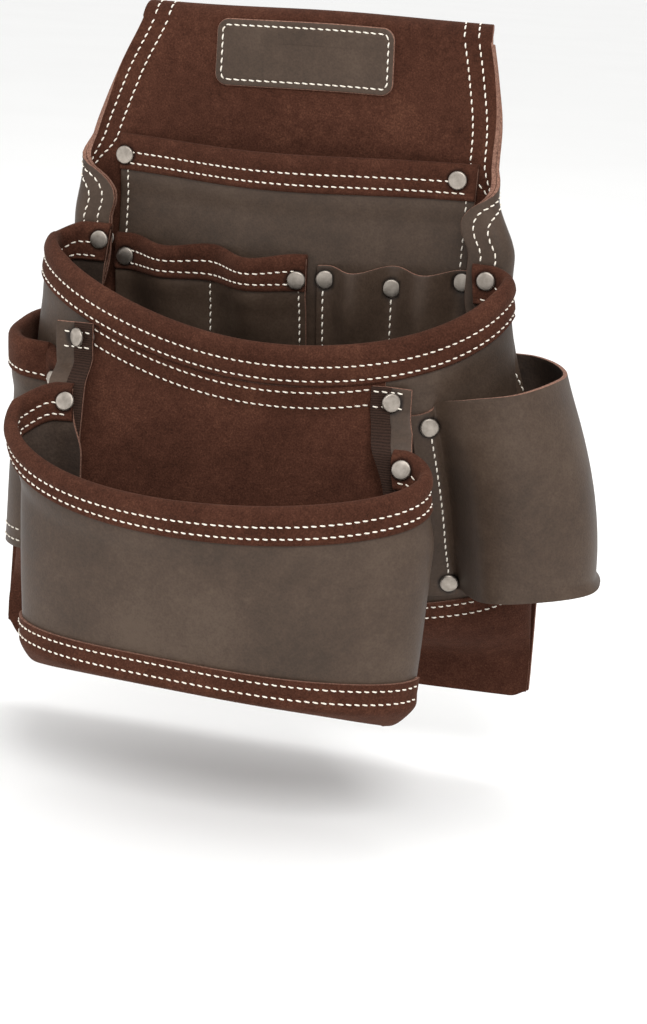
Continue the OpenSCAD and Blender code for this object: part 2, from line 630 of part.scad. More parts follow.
// ---- rivets: [middle of the cap's seat, direction that the cap faces, thickness it clamps] ----
function spot(at, u, h, e, grip, side = 1) =
    let (n = cross(at(u + 0.01, h, e) - at(u - 0.01, h, e), at(u, h - 1, e) - at(u, h + 1, e)))
    [at(u, h, e), side * unit(n), grip];
function flip(r, side) = side == 1 ? r : [[-r[0][0], r[0][1], r[0][2]], [-r[1][0], r[1][1], r[1][2]], r[2]];
back_t = panel_t + liner_t;
bound_t = sheet_t + 2 * band_t;
function twin_u(x) = (x + upper_half - 0.5) / (twin_right + 3.5 + upper_half);
function slots_u(x) = (x - slots_left + slots_edge) / (slots_right - slots_left + 2 * slots_edge);
upper_rivets = [for (q = [[2.5 - upper_half, 8.5], [upper_half - 9, 6]])
    spot(upper_at, q[0] / upper_half, q[1], sheet_t + band_t, bound_t + back_t)];
twin_rivets = [spot(twin_at, twin_u(twin_left), 9.5, sheet_t + band_t, bound_t + sheet_t + back_t),
    spot(twin_at, twin_u(twin_right), 10.5, sheet_t + band_t, bound_t + sheet_t)];
slot_rivets = [spot(slots_at, slots_u(slots_left), 7, sheet_t, 2 * sheet_t),
    spot(slots_at, slots_u(slots_divider), 11, sheet_t, 2 * sheet_t),
    spot(slots_at, slots_u(slots_right), 6, sheet_t, 2 * sheet_t + back_t)];
main_rivets = [for (q = [[-0.978, 5.4], [0.947, 4.6]]) spot(main_at, q[0], q[1], -band_t, bound_t + back_t, -1)];
function top_rivet(side) =
    let (x = gusset_in[side] + tape_w + [-1.5, 0.5][side], z = -gusset_drop[side], n = unit([0.5, -0.8, 0]))
    flip([[x, gusset_y(x, z, side) - sheet_t - tape_t, z], n, tape_t + 3 * sheet_t], side);
top_rivets = [top_rivet(0), top_rivet(1)];
low_rivets = [for (u = [-0.98, 0.942]) spot(front_at, u, 5.5, -band_t, bound_t + sheet_t, -1)];
side_rivets = [flip(spot(side_at, 0.1, 12, sheet_t + band_t, bound_t + sheet_t), 0)];
holder_rivets = [for (h = [7, 88]) spot(holder_at, 0.1, h, sheet_t, 2 * sheet_t)];
rear_rivets = [for (h = [14, 82]) spot(holder_at, 0.95, h, sheet_t, sheet_t + back_t)];
panel_rivets = concat(upper_rivets, [twin_rivets[0], slot_rivets[2]], main_rivets, rear_rivets);

module put(r) translate(r[0]) rotate([0, acos(r[1][2]), atan2(r[1][1], r[1][0])]) children();
module rivet_holes(list) for (r = list) put(r)
    translate([0, 0, -r[2] - 3]) cylinder(h = r[2] + 6, d = post_d, $fn = 24);
module rivets(list) color(metal) for (r = list) put(r) {
    rotate_extrude($fn = 40)
        polygon([[0, 0], [cap_d / 2, 0], [cap_d / 2, 0.7], [cap_d / 2 - 0.8, 1.6], [0, 1.8]]);
    translate([0, 0, -r[2] - 1.4]) cylinder(h = r[2] + 1.4, d = post_d, $fn = 24);
}
module burrs(list) color(metal) for (r = list) put(r) translate([0, 0, -r[2] - 1]) difference() {
    cylinder(h = 1, d = cap_d - 1, $fn = 40);
    translate([0, 0, -1]) cylinder(h = 3, d = post_d, $fn = 24);
}

module upper_pocket_rivets() rivets(upper_rivets);
module upper_pocket_burrs() burrs(upper_rivets);
module twin_pocket_rivets() rivets(twin_rivets);
module twin_pocket_burrs() burrs(twin_rivets);
module tool_slot_rivets() rivets(slot_rivets);
module tool_slot_burrs() burrs(slot_rivets);
module main_pocket_rivets() rivets(main_rivets);
module main_pocket_burrs() burrs(main_rivets);
module gusset_top_rivets() rivets(top_rivets);
module gusset_top_burrs() burrs(top_rivets);
module gusset_low_rivets() rivets(low_rivets);
module gusset_low_burrs() burrs(low_rivets);
module side_pocket_rivet() rivets(side_rivets);
module side_pocket_burr() burrs(side_rivets);
module holder_front_rivets() rivets(holder_rivets);
module holder_front_burrs() burrs(holder_rivets);
module holder_rear_rivets() rivets(rear_rivets);
module holder_rear_burrs() burrs(rear_rivets);

back_panel();
back_liner();
badge_patch();
upper_pocket();
upper_pocket_band();
twin_pocket();
twin_pocket_band();
tool_slots();
main_pocket();
main_pocket_band();
main_pocket_hem();
front_pocket_back();
front_gusset_left();
front_gusset_right();
gusset_tape_left();
gusset_tape_right();
front_pocket();
front_pocket_band();
front_pocket_hem();
side_pocket();
side_pocket_band();
hammer_holder();
upper_pocket_rivets();
upper_pocket_burrs();
twin_pocket_rivets();
twin_pocket_burrs();
tool_slot_rivets();
tool_slot_burrs();
main_pocket_rivets();
main_pocket_burrs();
gusset_top_rivets();
gusset_top_burrs();
gusset_low_rivets();
gusset_low_burrs();
side_pocket_rivet();
side_pocket_burr();
holder_front_rivets();
holder_front_burrs();
holder_rear_rivets();
holder_rear_burrs();
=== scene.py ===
import math

import bmesh
import bpy
import numpy as np
from mathutils import Matrix, Vector


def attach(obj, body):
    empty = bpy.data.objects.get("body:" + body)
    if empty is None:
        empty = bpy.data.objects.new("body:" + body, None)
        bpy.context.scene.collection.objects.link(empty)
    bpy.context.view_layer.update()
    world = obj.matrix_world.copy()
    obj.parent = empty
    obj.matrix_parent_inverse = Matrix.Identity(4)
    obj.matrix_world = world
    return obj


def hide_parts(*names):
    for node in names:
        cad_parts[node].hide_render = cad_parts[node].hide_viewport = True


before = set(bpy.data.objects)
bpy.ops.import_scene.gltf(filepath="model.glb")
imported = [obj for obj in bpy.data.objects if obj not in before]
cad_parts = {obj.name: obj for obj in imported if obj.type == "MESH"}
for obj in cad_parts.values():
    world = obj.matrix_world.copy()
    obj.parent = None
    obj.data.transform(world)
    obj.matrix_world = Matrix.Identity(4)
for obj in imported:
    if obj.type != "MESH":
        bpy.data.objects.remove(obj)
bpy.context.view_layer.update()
metre = 0.001  # all sizes below are in millimetres

# colour and node helpers


def linear(code):
    parts = [int(code[i:i + 2], 16) / 255 for i in (1, 3, 5)]
    return [c / 12.92 if c <= 0.04045 else ((c + 0.055) / 1.055) ** 2.4 for c in parts] + [1]


def wire(tree, node, links):
    for name, source in links.items():
        tree.links.new(source, node.inputs[name])


# adds a node with its settings, values and links, and gives back one of its outputs
def add(tree, kind, values=None, links=None, stops=(), out=0, **settings):
    node = tree.nodes.new("ShaderNode" + kind)
    for name, value in settings.items():
        setattr(node, name, value)
    for name, value in (values or {}).items():
        node.inputs[name].default_value = value
    wire(tree, node, links or {})
    for k, (place, code) in enumerate(stops):
        edges = node.color_ramp.elements
        edge = edges[k] if k < len(edges) else edges.new(place)
        edge.position, edge.color = place, linear(code)
    return node.outputs[out]


def per(size):
    return 1 / (size * metre)  # pattern scale for a feature of this many millimetres


def newMaterial(name, values):
    material = bpy.data.materials.new(name)
    material.use_nodes = True
    tree = material.node_tree
    shader = tree.nodes["Principled BSDF"]
    for key, value in values.items():
        shader.inputs[key].default_value = value
    where = {"Vector": add(tree, "TexCoord", out="Object")}
    return material, tree, shader, where


def weighted(tree, parts):  # several patterns added up, each with its weight
    total = None
    for source, weight in parts:
        scaled = add(tree, "Math", {1: weight}, {0: source}, operation="MULTIPLY")
        total = scaled if total is None else add(tree, "Math", None, {0: total, 1: scaled})
    return total


def paintRivetShade(tree, colour, code, strength):  # painted shade: darker where the leather is pressed in round a rivet, standing in for the shadow at the cap's edge
    rivetShade = add(tree, "Attribute", out="Fac", attribute_name="rivetPressShade")
    amount = add(tree, "Math", {1: strength}, {0: rivetShade}, operation="MULTIPLY")
    return add(tree, "Mix", {7: linear(code)}, {0: amount, 6: colour}, out=2, data_type="RGBA")


# materials, each a finish of this pouch


def makeSuede():
    # brushed split cowhide: a short nap that scatters light, so no gloss and soft lighter patches
    material, tree, shader, where = newMaterial("brushedSuede", {
        "Roughness": 0.95, "Sheen Weight": 0.14, "Sheen Roughness": 0.4, "Sheen Tint": linear("#A87E6A"),
        "Specular IOR Level": 0.1})
    patches = add(tree, "TexNoise", {"Scale": per(34), "Detail": 3, "Roughness": 0.55}, where)
    strokes = add(tree, "TexNoise", {"Scale": per(5), "Detail": 4, "Roughness": 0.6}, where)
    # real fibres are about 0.1 mm, drawn coarser to show
    nap = add(tree, "TexNoise", {"Scale": per(0.85), "Detail": 4, "Roughness": 0.78}, where)
    tone = weighted(tree, [(patches, 0.22), (strokes, 0.2), (nap, 0.6)])
    dyed = add(tree, "ValToRGB", None, {0: tone},
               [(0.34, "#26150E"), (0.47, "#3C2218"), (0.56, "#482B20"), (0.7, "#63402F")])
    relief = add(tree, "Bump", {"Strength": 0.7, "Distance": 0.55 * metre},
                 {"Height": weighted(tree, [(nap, 0.55), (strokes, 0.8)])})
    # painted shade round each rivet: the suede is mixed towards #150B07 near its cap
    wire(tree, shader, {"Base Color": paintRivetShade(tree, dyed, "#150B07", 0.85), "Normal": relief})
    return material


def makeSmooth(name, stops, rough, grain):
    # waxed full-grain cowhide: fine pores and faint cloudiness under a satin film
    material, tree, shader, where = newMaterial(name, {"Specular IOR Level": 0.26, "IOR": 1.46})
    clouds = add(tree, "TexNoise", {"Scale": per(60), "Detail": 2, "Roughness": 0.55}, where)
    mottle = add(tree, "TexNoise", {"Scale": per(8), "Detail": 3, "Roughness": 0.55}, where)
    # real pores are finer than would show
    pores = add(tree, "TexVoronoi", {"Scale": per(1.1)}, where)
    creases = add(tree, "TexNoise", {"Scale": per(2.4), "Detail": 5, "Roughness": 0.65}, where)
    tone = weighted(tree, [(clouds, 0.5), (mottle, 0.22), (pores, 0.1), (creases, 0.2)])
    dyed = add(tree, "ValToRGB", None, {0: tone}, stops)
    gloss = add(tree, "MapRange", {"To Min": rough - 0.06, "To Max": rough + 0.1},
                {"Value": mottle})
    relief = add(tree, "Bump", {"Strength": 0.6, "Distance": grain * metre},
                 {"Height": weighted(tree, [(pores, 0.5), (creases, 0.7)])})
    # painted shade round each rivet: the leather is mixed towards #15100D near its cap
    shade = paintRivetShade(tree, dyed, "#15100D", 0.9)
    wire(tree, shader, {"Base Color": shade, "Roughness": gloss, "Normal": relief})
    return material


def makeCutEdge():
    # raw cut edge: undyed fibres, paler and pinker than either face
    material, tree, shader, where = newMaterial("cutLeatherEdge", {
        "Roughness": 0.9, "Specular IOR Level": 0.2})
    fibres = add(tree, "TexNoise", {"Scale": per(0.9), "Detail": 4, "Roughness": 0.7}, where)
    raw = add(tree, "ValToRGB", None, {0: fibres}, [(0.35, "#5A3B31"), (0.65, "#94705F")])
    relief = add(tree, "Bump", {"Strength": 0.6, "Distance": 0.3 * metre}, {"Height": fibres})
    wire(tree, shader, {"Base Color": raw, "Normal": relief})
    return material


def makeThread():
    # waxed bonded cord: cream, a soft shine, and painted shade between the plies, darker where the ply bump
    # is low
    material, tree, shader, where = newMaterial("waxedThread", {"Roughness": 0.5, "Sheen Weight": 0.15})
    plies = add(tree, "TexNoise", {"Scale": per(0.8), "Detail": 2, "Roughness": 0.55}, where)
    cream = add(tree, "ValToRGB", None, {0: plies}, [(0.3, "#CFC2AF"), (0.6, "#F1EADD")])
    relief = add(tree, "Bump", {"Strength": 0.5, "Distance": 0.12 * metre}, {"Height": plies})
    wire(tree, shader, {"Base Color": cream, "Normal": relief})
    return material


def makeTape():
    # woven twill tape: matt, with crosswise ribs drawn a little coarser than the weave to show
    material, tree, shader, where = newMaterial("wovenTwillTape", {
        "Roughness": 0.9, "Specular IOR Level": 0.15})
    period = 2 * math.pi / 20  # the wave texture's own period at scale 1
    ribs = add(tree, "TexWave", {"Scale": period * per(1.1), "Distortion": 1.6, "Detail": 2.0},
               where, out="Fac", wave_type="BANDS", bands_direction="Z")
    fuzz = add(tree, "TexNoise", {"Scale": per(0.7), "Detail": 3, "Roughness": 0.55}, where)
    tone = weighted(tree, [(ribs, 0.35), (fuzz, 0.65)])
    dyed = add(tree, "ValToRGB", None, {0: tone}, [(0.25, "#1F140F"), (0.75, "#38271F")])
    relief = add(tree, "Bump", {"Strength": 0.8, "Distance": 0.35 * metre}, {"Height": tone})
    wire(tree, shader, {"Base Color": dyed, "Normal": relief})
    return material


def makeNickel():
    # brushed nickel plate: pale and slightly warm, with fine scratches that spread the highlight
    material, tree, shader, where = newMaterial("brushedNickel", {"Metallic": 1.0, "Anisotropic": 0.4})
    scratch = add(tree, "TexNoise", {"Scale": per(0.5), "Detail": 5, "Roughness": 0.75}, where)
    smear = add(tree, "TexNoise", {"Scale": per(3.5), "Detail": 3, "Roughness": 0.55}, where)
    gloss = add(tree, "MapRange", {"To Min": 0.36, "To Max": 0.56},
                {"Value": weighted(tree, [(scratch, 0.5), (smear, 0.5)])})
    plate = add(tree, "ValToRGB", None, {0: smear}, [(0.3, "#8F877E"), (0.7, "#B4ABA1")])
    relief = add(tree, "Bump", {"Strength": 0.4, "Distance": 0.04 * metre}, {"Height": scratch})
    wire(tree, shader, {"Base Color": plate, "Roughness": gloss, "Normal": relief})
    return material


suede = makeSuede()
smooth = makeSmooth("waxedGrainLeather", [(0.4, "#382C23"), (0.52, "#43352B"), (0.64, "#4D3F34")], 0.5, 0.16)
flesh = makeSmooth("grainLeatherBack", [(0.42, "#261C16"), (0.55, "#33271F"), (0.66, "#40332A")], 0.78, 0.3)
cutEdge = makeCutEdge()
thread = makeThread()
tape = makeTape()
nickel = makeNickel()
print("materials made")

# shape helpers, in millimetres


def mix(a, b, t):
    return a + (b - a) * t


def clamp(t):
    return np.clip(t, 0, 1)


def ease(t):
    c = clamp(t)
    return c * c * (3 - 2 * c)


def curve(pick, last, t):  # smooth curve through what pick gives at 0, 1, 2 up to last
    k = np.minimum(last - 1, np.floor(t)).astype(int)
    f = (t - k)[..., None]
    a, b, c, d = (pick(np.clip(k + i, 0, last)) for i in (-1, 0, 1, 2))
    second, third = 2 * a - 5 * b + 4 * c - d, 3 * b - a - 3 * c + d
    return 0.5 * (2 * b + (c - a) * f + second * f ** 2 + third * f ** 3)


def through(points, t):  # the same through a list of rows, each column at its own place
    points = np.asarray(points, float)
    column = np.arange(points.shape[1])
    return curve(lambda k: points[k, column], len(points) - 1, t)


def pile(x, y, z):
    return np.stack(np.broadcast_arrays(x, y, z), -1).astype(float)


def below(z, zone):  # 0 above a zone, 1 beneath it; a zone is its top and its height
    return ease((zone[0] - z) / zone[1])


def slackness(x, z, wave):  # slow waves in slack leather: how high, and how long across and down
    return wave[0] * np.sin(x / wave[1] + z / wave[2])


def sway(p):  # one slow drift that every piece shares, so that layers stay together
    x, y, z = p[..., 0], p[..., 1], p[..., 2]
    dx = 0.5 * np.sin(z / 31 + 1.3) + 0.3 * np.sin(z / 17 + x / 41)
    dy = 0.6 * np.sin(x / 33 + z / 53 + 0.4) + 0.35 * np.sin(x / 17 - z / 29 + 2)
    dz = 0.5 * np.sin(x / 39 + 0.8) + 0.25 * np.sin(x / 19 + z / 60)
    return p + pile(dx, dy, dz)


def unit(v):
    return v / np.linalg.norm(v, axis=-1, keepdims=True)


rivets = []  # every rivet: seat, outward direction, thickness that it clamps
rivetPressShade = dict(reach=(-3, 2.2), deep=0.75, radius=4.6, shadeTo=6.4, shadeEdge=1.7)  # dimple round a rivet, and the painted shade ring round it


def dimple(p):  # leather pressed in round each rivet, and how much painted shade lies there
    moved, rivetShade = p.copy(), np.zeros(p.shape[:-1])
    for seat, out, grip in rivets:
        apart = p - seat
        along = apart @ out
        aside = np.sqrt(np.maximum(0, (apart ** 2).sum(-1) - along ** 2))
        close = (along > rivetPressShade["reach"][0]) & (along < rivetPressShade["reach"][1])
        moved -= (close * rivetPressShade["deep"] * np.exp(-(aside / rivetPressShade["radius"]) ** 4))[..., None] * out
        rivetShade = np.maximum(rivetShade, close * ease((rivetPressShade["shadeTo"] - aside) / rivetPressShade["shadeEdge"]))
    return moved, rivetShade


def tubeFaces(rings, count):  # faces of a tube of that many rings of points, closed at both ends
    faces = []
    for k in range(rings - 1):
        for j in range(count):
            a, b = k * count + j, k * count + (j + 1) % count
            faces.append([a, b, b + count, a + count])
    return faces + [list(range(count - 1, -1, -1)), list(range((rings - 1) * count, rings * count))]


def meshObject(name, points, faces, faceMaterials, materials, rivetShade=None):
    mesh = bpy.data.meshes.new(name)
    mesh.from_pydata((sway(points) * metre).tolist(), [], faces)
    for material in materials:
        mesh.materials.append(material)
    mesh.polygons.foreach_set("material_index", faceMaterials)
    mesh.polygons.foreach_set("use_smooth", [True] * len(faces))
    # the painted shade mask round the rivets, read by the leather materials
    if rivetShade is not None:
        mesh.attributes.new("rivetPressShade", "FLOAT", "POINT").data.foreach_set("value", rivetShade.astype(np.float32))
    piece = bpy.data.objects.new(name, mesh)
    bpy.context.scene.collection.objects.link(piece)
    work = bmesh.new()
    work.from_mesh(mesh)
    bmesh.ops.recalc_face_normals(work, faces=work.faces)
    work.to_mesh(mesh)
    work.free()
    return piece


def roundEdges(piece, width):
    bevel = piece.modifiers.new("roundEdges", "BEVEL")
    bevel.width = width * metre
    bevel.segments = 2
    bevel.limit_method = "ANGLE"
    bevel.angle_limit = math.radians(55)
    return piece


def skin(name, near, far, outer, inner, edge=None, width=0.4):  # closed leather sheet between two grids
    rows, cols = near.shape[:2]
    count = rows * cols
    at = np.arange(count).reshape(rows, cols)
    a, b, c, d = at[:-1, :-1], at[:-1, 1:], at[1:, 1:], at[1:, :-1]
    back = np.stack([a, b, c, d], -1).reshape(-1, 4)
    front = np.stack([a, d, c, b], -1).reshape(-1, 4) + count
    rim = np.concatenate([at[0], at[1:, -1], at[-1, -2::-1], at[-2:0:-1, 0]])
    after = np.roll(rim, -1)
    sides = np.stack([rim, rim + count, after + count, after], -1)
    points, rivetShade = dimple(np.concatenate([near.reshape(-1, 3), far.reshape(-1, 3)]))
    faces = np.concatenate([front, back, sides]).tolist()
    index = [0] * len(front) + [1] * len(back) + [2] * len(sides)
    piece = meshObject(name, points, faces, index, [outer, inner, edge or cutEdge], rivetShade)
    return roundEdges(piece, width)


def swept(name, at, us, profile, material):  # closed profile of (h, e) carried along u
    profile = np.array(profile, float)
    rows = np.stack([at(np.full(len(profile), u), profile[:, 0], profile[:, 1]) for u in us])
    n, m = rows.shape[:2]
    place = np.arange(n * m).reshape(n, m)
    turn = np.roll(place, -1, axis=1)
    faces = np.stack([place[:-1], turn[:-1], turn[1:], place[1:]], -1).reshape(-1, 4).tolist()
    faces += [place[0].tolist(), place[-1][::-1].tolist()]
    points, rivetShade = dimple(rows.reshape(-1, 3))
    return meshObject(name, points, faces, [0] * len(faces), [material], rivetShade)


def surfaceNormal(at, u, h, e, side=1):
    du, dh = 0.004, 0.8
    across = at(u + du, h, e) - at(u - du, h, e)
    up = at(u, h - dh, e) - at(u, h + dh, e)
    return unit(np.cross(across, up) * side)


# shape runs along one stitch: part of the rise, then part of the half width
stitch = dict(length=3.0, gap=0.75, half=0.38, rise=0.3, slant=0.2, flat=0.8, sides=8, startJitter=0.08,
              lengthJitter=0.15, shape=[(-1.3, 0.5), (-0.1, 0.85), (0.75, 1.0), (1.0, 1.04), (0.75, 1.0),
                                        (-0.1, 0.85), (-1.3, 0.5)])
stitchRise, stitchWide = np.array(stitch["shape"]).T
stitchSteps = np.linspace(0, 1, len(stitchRise))
threadRandom = np.random.default_rng(7)


def stitchRow(line, normals):  # one row of stitches along a line on the leather
    line = dimple(line)[0]
    gaps = np.linalg.norm(np.diff(line, axis=0), axis=1)
    run = np.concatenate([[0], np.cumsum(gaps)])
    pitch = stitch["length"] + stitch["gap"]
    count = max(1, int(run[-1] // pitch))
    pitch = run[-1] / count
    early, longer = stitch["startJitter"], stitch["lengthJitter"]
    starts = np.arange(count) * pitch + threadRandom.uniform(-early, early, count)
    length = pitch - stitch["gap"] + threadRandom.uniform(-longer, longer, count)
    where = starts[:, None] + stitch["gap"] / 2 + stitchSteps * length[:, None]
    centre = np.stack([np.interp(where, run, line[:, i]) for i in range(3)], -1)
    out = unit(np.stack([np.interp(where, run, normals[:, i]) for i in range(3)], -1))
    ahead = unit(np.gradient(centre, axis=1))
    aside = np.cross(ahead, out)
    lean = stitch["slant"] * (stitchSteps * 2 - 1)[None, :, None]
    centre = centre + out * (stitchRise * stitch["rise"])[None, :, None] + aside * lean
    angle = np.arange(stitch["sides"]) * 2 * math.pi / stitch["sides"]
    wide = stitchWide[None, :, None, None] * stitch["half"]
    flat = out[:, :, None] * np.sin(angle)[:, None] * wide * stitch["flat"]
    ring = aside[:, :, None] * np.cos(angle)[:, None] * wide + flat
    return (centre[:, :, None] + ring).reshape(count, -1, 3)


def stitches(name, rows):  # all rows of one piece as one object
    groups = np.concatenate([stitchRow(line, normals) for line, normals in rows])
    one = tubeFaces(len(stitchSteps), stitch["sides"])
    faces = [[v + g * groups.shape[1] for v in face] for g in range(len(groups)) for face in one]
    return meshObject(name, groups.reshape(-1, 3), faces, [0] * len(faces), [thread])


def alongRow(at, us, h, e, side=1):  # a line at depth h on a surface and its normals
    us = np.asarray(us, float)
    hs = h(us) if callable(h) else np.full(len(us), float(h))
    return at(us, hs, np.full(len(us), e)), surfaceNormal(at, us, hs, np.full(len(us), e), side)


def downRow(at, u, h0, h1, e, side=1):  # a line across a surface from depth h0 to h1
    hs = np.linspace(h0, h1, 40)
    us = np.full(40, float(u)) if np.isscalar(u) else np.linspace(u[0], u[1], 40)
    return at(us, hs, np.full(40, e)), surfaceNormal(at, us, hs, np.full(40, e), side)


def keep(piece, slotName, *nodes):
    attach(piece, "root")
    if nodes:
        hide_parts(*nodes)


# back panel, liner and belt tunnel

sheetT, bandT, tapeT = 2.0, 1.6, 0.9
panel = dict(
    thick=2.5, liner=2.0, topHalf=87.5, sideBulge=2.2, shoulderHalf=104, earHalf=137, footHalf=141, rounded=7,
    bendZ=44.5, shoulderDrop=22, earDrop=41, footDrop=279,
    topLean=5, topEase=(5, 46), shoulderLean=4.5, shoulderEase=36, footShift=4, swing=(-150, 80),
    footLean=4, footZone=(-200, 70), corner=(9, 3.5), cornerAt=0.9, cornerZone=(26, 24),
    ripple=0.9, rippleWave=8.5, rippleSide=(60, 30), rippleZone=(-215, 25),
    earRadius=4, earPress=0.3, earFull=(-120, 66), earFlat=(-186, 26), earTuck=6.5, tuckZone=(-28, 28),
    foldHalf=112.5, foldFoot=11, foldZone=(-70, 120), foldIn=(6, 2), foldEase=(-10, 40),
    beltGap=8, beltWidth=76.2, beltRoom=4, tunnelTurn=12, flap=104.2, flapTaper=3, flapSlope=0.02,
    rows=(6.5, 13.5), rowsLow=-212, flapRows=(93.0, 99.5))
linerBack = -panel["beltGap"] / 2
seamY = linerBack - panel["liner"]
panelY = seamY - panel["thick"]
slotLow = panel["bendZ"] - panel["beltWidth"] - panel["beltRoom"]


def leanX(z):
    start, high = panel["topEase"]
    shoulder = panel["shoulderLean"] * (1 - ease(np.abs(z + panel["shoulderDrop"]) / panel["shoulderEase"]))
    top = panel["topLean"] * ease((z - start) / high)
    return top - shoulder - panel["footShift"] * below(z, panel["swing"])


def sharpHalf(z):
    shoulder, ear, foot = -panel["shoulderDrop"], -panel["earDrop"], -panel["footDrop"]
    t = (z - shoulder) / (panel["bendZ"] - shoulder)
    bulge = panel["sideBulge"] * np.sin(math.pi * np.minimum(1, t))
    top = mix(panel["shoulderHalf"], panel["topHalf"], t) + bulge
    slope = mix(panel["earHalf"], panel["shoulderHalf"], (z - ear) / (shoulder - ear))
    low = mix(panel["footHalf"], panel["earHalf"], clamp((z - foot) / (ear - foot)))
    return np.where(z > shoulder, top, np.where(z > ear, slope, low))


def flatHalf(z):  # the same outline with its corners eased
    return sum(sharpHalf(z + panel["rounded"] * k) for k in (-1, -0.5, 0, 0.5, 1)) / 5


def foldR(z):
    full, flat = panel["earRadius"] + panel["thick"], panel["thick"] + panel["earPress"]
    return mix(full, flat, below(z, panel["earFull"]))


def foldTurn(z):
    return math.pi * (1 - below(z, panel["earFlat"]))


def foldX(z):
    start = panel["foldHalf"] - panel["earRadius"] - panel["thick"] - panel["liner"]
    tuck = panel["earTuck"] * (1 - below(z, panel["tuckZone"]))
    low = mix(start, panel["footHalf"] - panel["foldFoot"], below(z, panel["foldZone"])) - tuck
    inside = mix(*panel["foldIn"], ease((z - panel["foldEase"][0]) / panel["foldEase"][1]))
    return np.minimum(sharpHalf(z) - inside, low)


def earStand(z):
    return (2 * foldR(z) + panel["liner"] - panel["thick"]) * foldTurn(z) / math.pi


# t from -1 to 1 across the flat leather, o in front of the seam between the layers
def panelAt(t, z, o):
    t, z = np.broadcast_arrays(np.asarray(t, float), np.asarray(z, float))
    half, b, r = flatHalf(z), foldX(z), foldR(z)
    a = np.abs(t) * half
    f = np.clip((a - b) / r, 0, foldTurn(z))
    rest = np.maximum(0, a - b - foldTurn(z) * r)
    x = np.where(a <= b, a, b + (r - o) * np.sin(f) + rest * np.cos(f)) * np.sign(t)
    y = np.where(a <= b, seamY - o, seamY - r + (r - o) * np.cos(f) - rest * np.sin(f))
    lift = panel["footLean"] * x / panel["footHalf"] * below(z, panel["footZone"])
    up, high = panel["cornerZone"]
    turned = ease((np.abs(t) - panel["cornerAt"]) / (1 - panel["cornerAt"]))
    corner = np.where(t < 0, *panel["corner"]) * turned ** 2 * below(z, (up - panel["footDrop"], high))
    aside, width = panel["rippleSide"]
    ripple = panel["ripple"] * np.sin(x / panel["rippleWave"] + 1) * ease((x - aside) / width)
    ripple = ripple * below(z, panel["rippleZone"])
    return pile(x + leanX(z), y + ripple, z + lift + corner)


# over the top bend, v from 0 to pi, then down the flap, v in millimetres below it
def flapAt(t, v, o):
    bendC, bendIn = (seamY + panel["beltGap"] / 2) / 2, (panel["beltGap"] / 2 - seamY) / 2
    top = float(flatHalf(np.array(panel["bendZ"])))
    turn = np.minimum(v, math.pi)
    down = np.maximum(0, v - math.pi)
    z = panel["bendZ"] - down
    half = mix(top, top - panel["flapTaper"], turn / math.pi) - panel["flapSlope"] * down
    flapY = mix(panel["beltGap"] / 2, linerBack, below(z, (slotLow, panel["tunnelTurn"])))
    y = np.where(v < math.pi, bendC - (bendIn + o) * np.cos(turn), flapY + o)
    high = z + np.where(v < math.pi, (bendIn + o) * np.sin(turn), 0)
    return pile(t * half + leanX(np.maximum(high, z)), y, high)


def panelRows(o):
    ts = np.linspace(-1, 1, 181)
    zs = np.linspace(-panel["footDrop"], panel["bendZ"] - 1, 150)
    vs = np.concatenate([np.linspace(0, math.pi, 13), math.pi + np.linspace(3, panel["flap"], 40)])
    front = [panelAt(ts, z, o) for z in zs]
    return np.stack(front + [flapAt(ts, v, o) for v in vs])


def linerRows(o):
    ts = np.linspace(-1, 1, 181)
    zs = np.linspace(-panel["footDrop"] + 0.4, panel["bendZ"] - 1.5, 140)
    return np.stack([panelAt(ts * 0.998, z, o) for z in zs])


# pockets: at(u, h, e) is at u across, h below the rim and e outside the inner face


def rimRoom(h, band):  # the leather stands back by the band's thickness and closes up under it
    return bandT * ease((band + 14 - h) / 12)


upper = dict(half=90, drop=17, deep=150, bulge=17, band=15.5, seam=84, swell=(8, 95), curl=2,
             slack=(0.7, 21, 37), slackDown=(8, 20))
twin = dict(left=-84, divider=-36, right=10, lap=4, drop=64, deep=84, bulge=12, band=16, swell=(6, 60),
            sag=(2.2, 14))
slots = dict(left=23, divider=54, right=88, lap=4, drop=67, deep=82, bulge=12, slope=3, swell=(6, 60),
             sag=(2.5, 18))


def rising(z, pocket):  # 0 at a pocket's low seam, 1 where it stands out in full
    start, high = pocket["swell"]
    return ease((z + pocket["drop"] + pocket["deep"] - start) / high)


def upperOff(x, z):
    swell = np.cos(np.minimum(1, np.abs(x) / upper["seam"]) * math.pi / 2) ** 2
    return upper["bulge"] * swell * rising(z, upper)


def upperAt(u, h, e):
    x, z = u * upper["half"], -upper["drop"] + upper["curl"] * u * u - h
    start, high = upper["slackDown"]
    slack = slackness(x, z, upper["slack"]) * clamp(1 - np.abs(u)) * ease((h - start) / high)
    return pile(x, panelY - rimRoom(h, upper["band"]) - upperOff(x, z) - e - slack, z)


def upperFace(x, z):
    room = rimRoom(-upper["drop"] + upper["curl"] * (x / upper["half"]) ** 2 - z, upper["band"])
    return panelY - sheetT - upperOff(x, z) - room


def arch(x, a, b):
    inside = (x > a) & (x < b)
    return np.where(inside, np.sin(math.pi * clamp((x - a) / (b - a))) ** 2, 0)


def cellsAt(x, pocket):  # how far each of a double pocket's cells stands out
    return arch(x, pocket["left"], pocket["divider"]) + arch(x, pocket["divider"], pocket["right"])


def sagging(h, cells, pocket):  # the rim sags between its seams
    depth, high = pocket["sag"]
    return depth * cells * ease((high - h) / high)


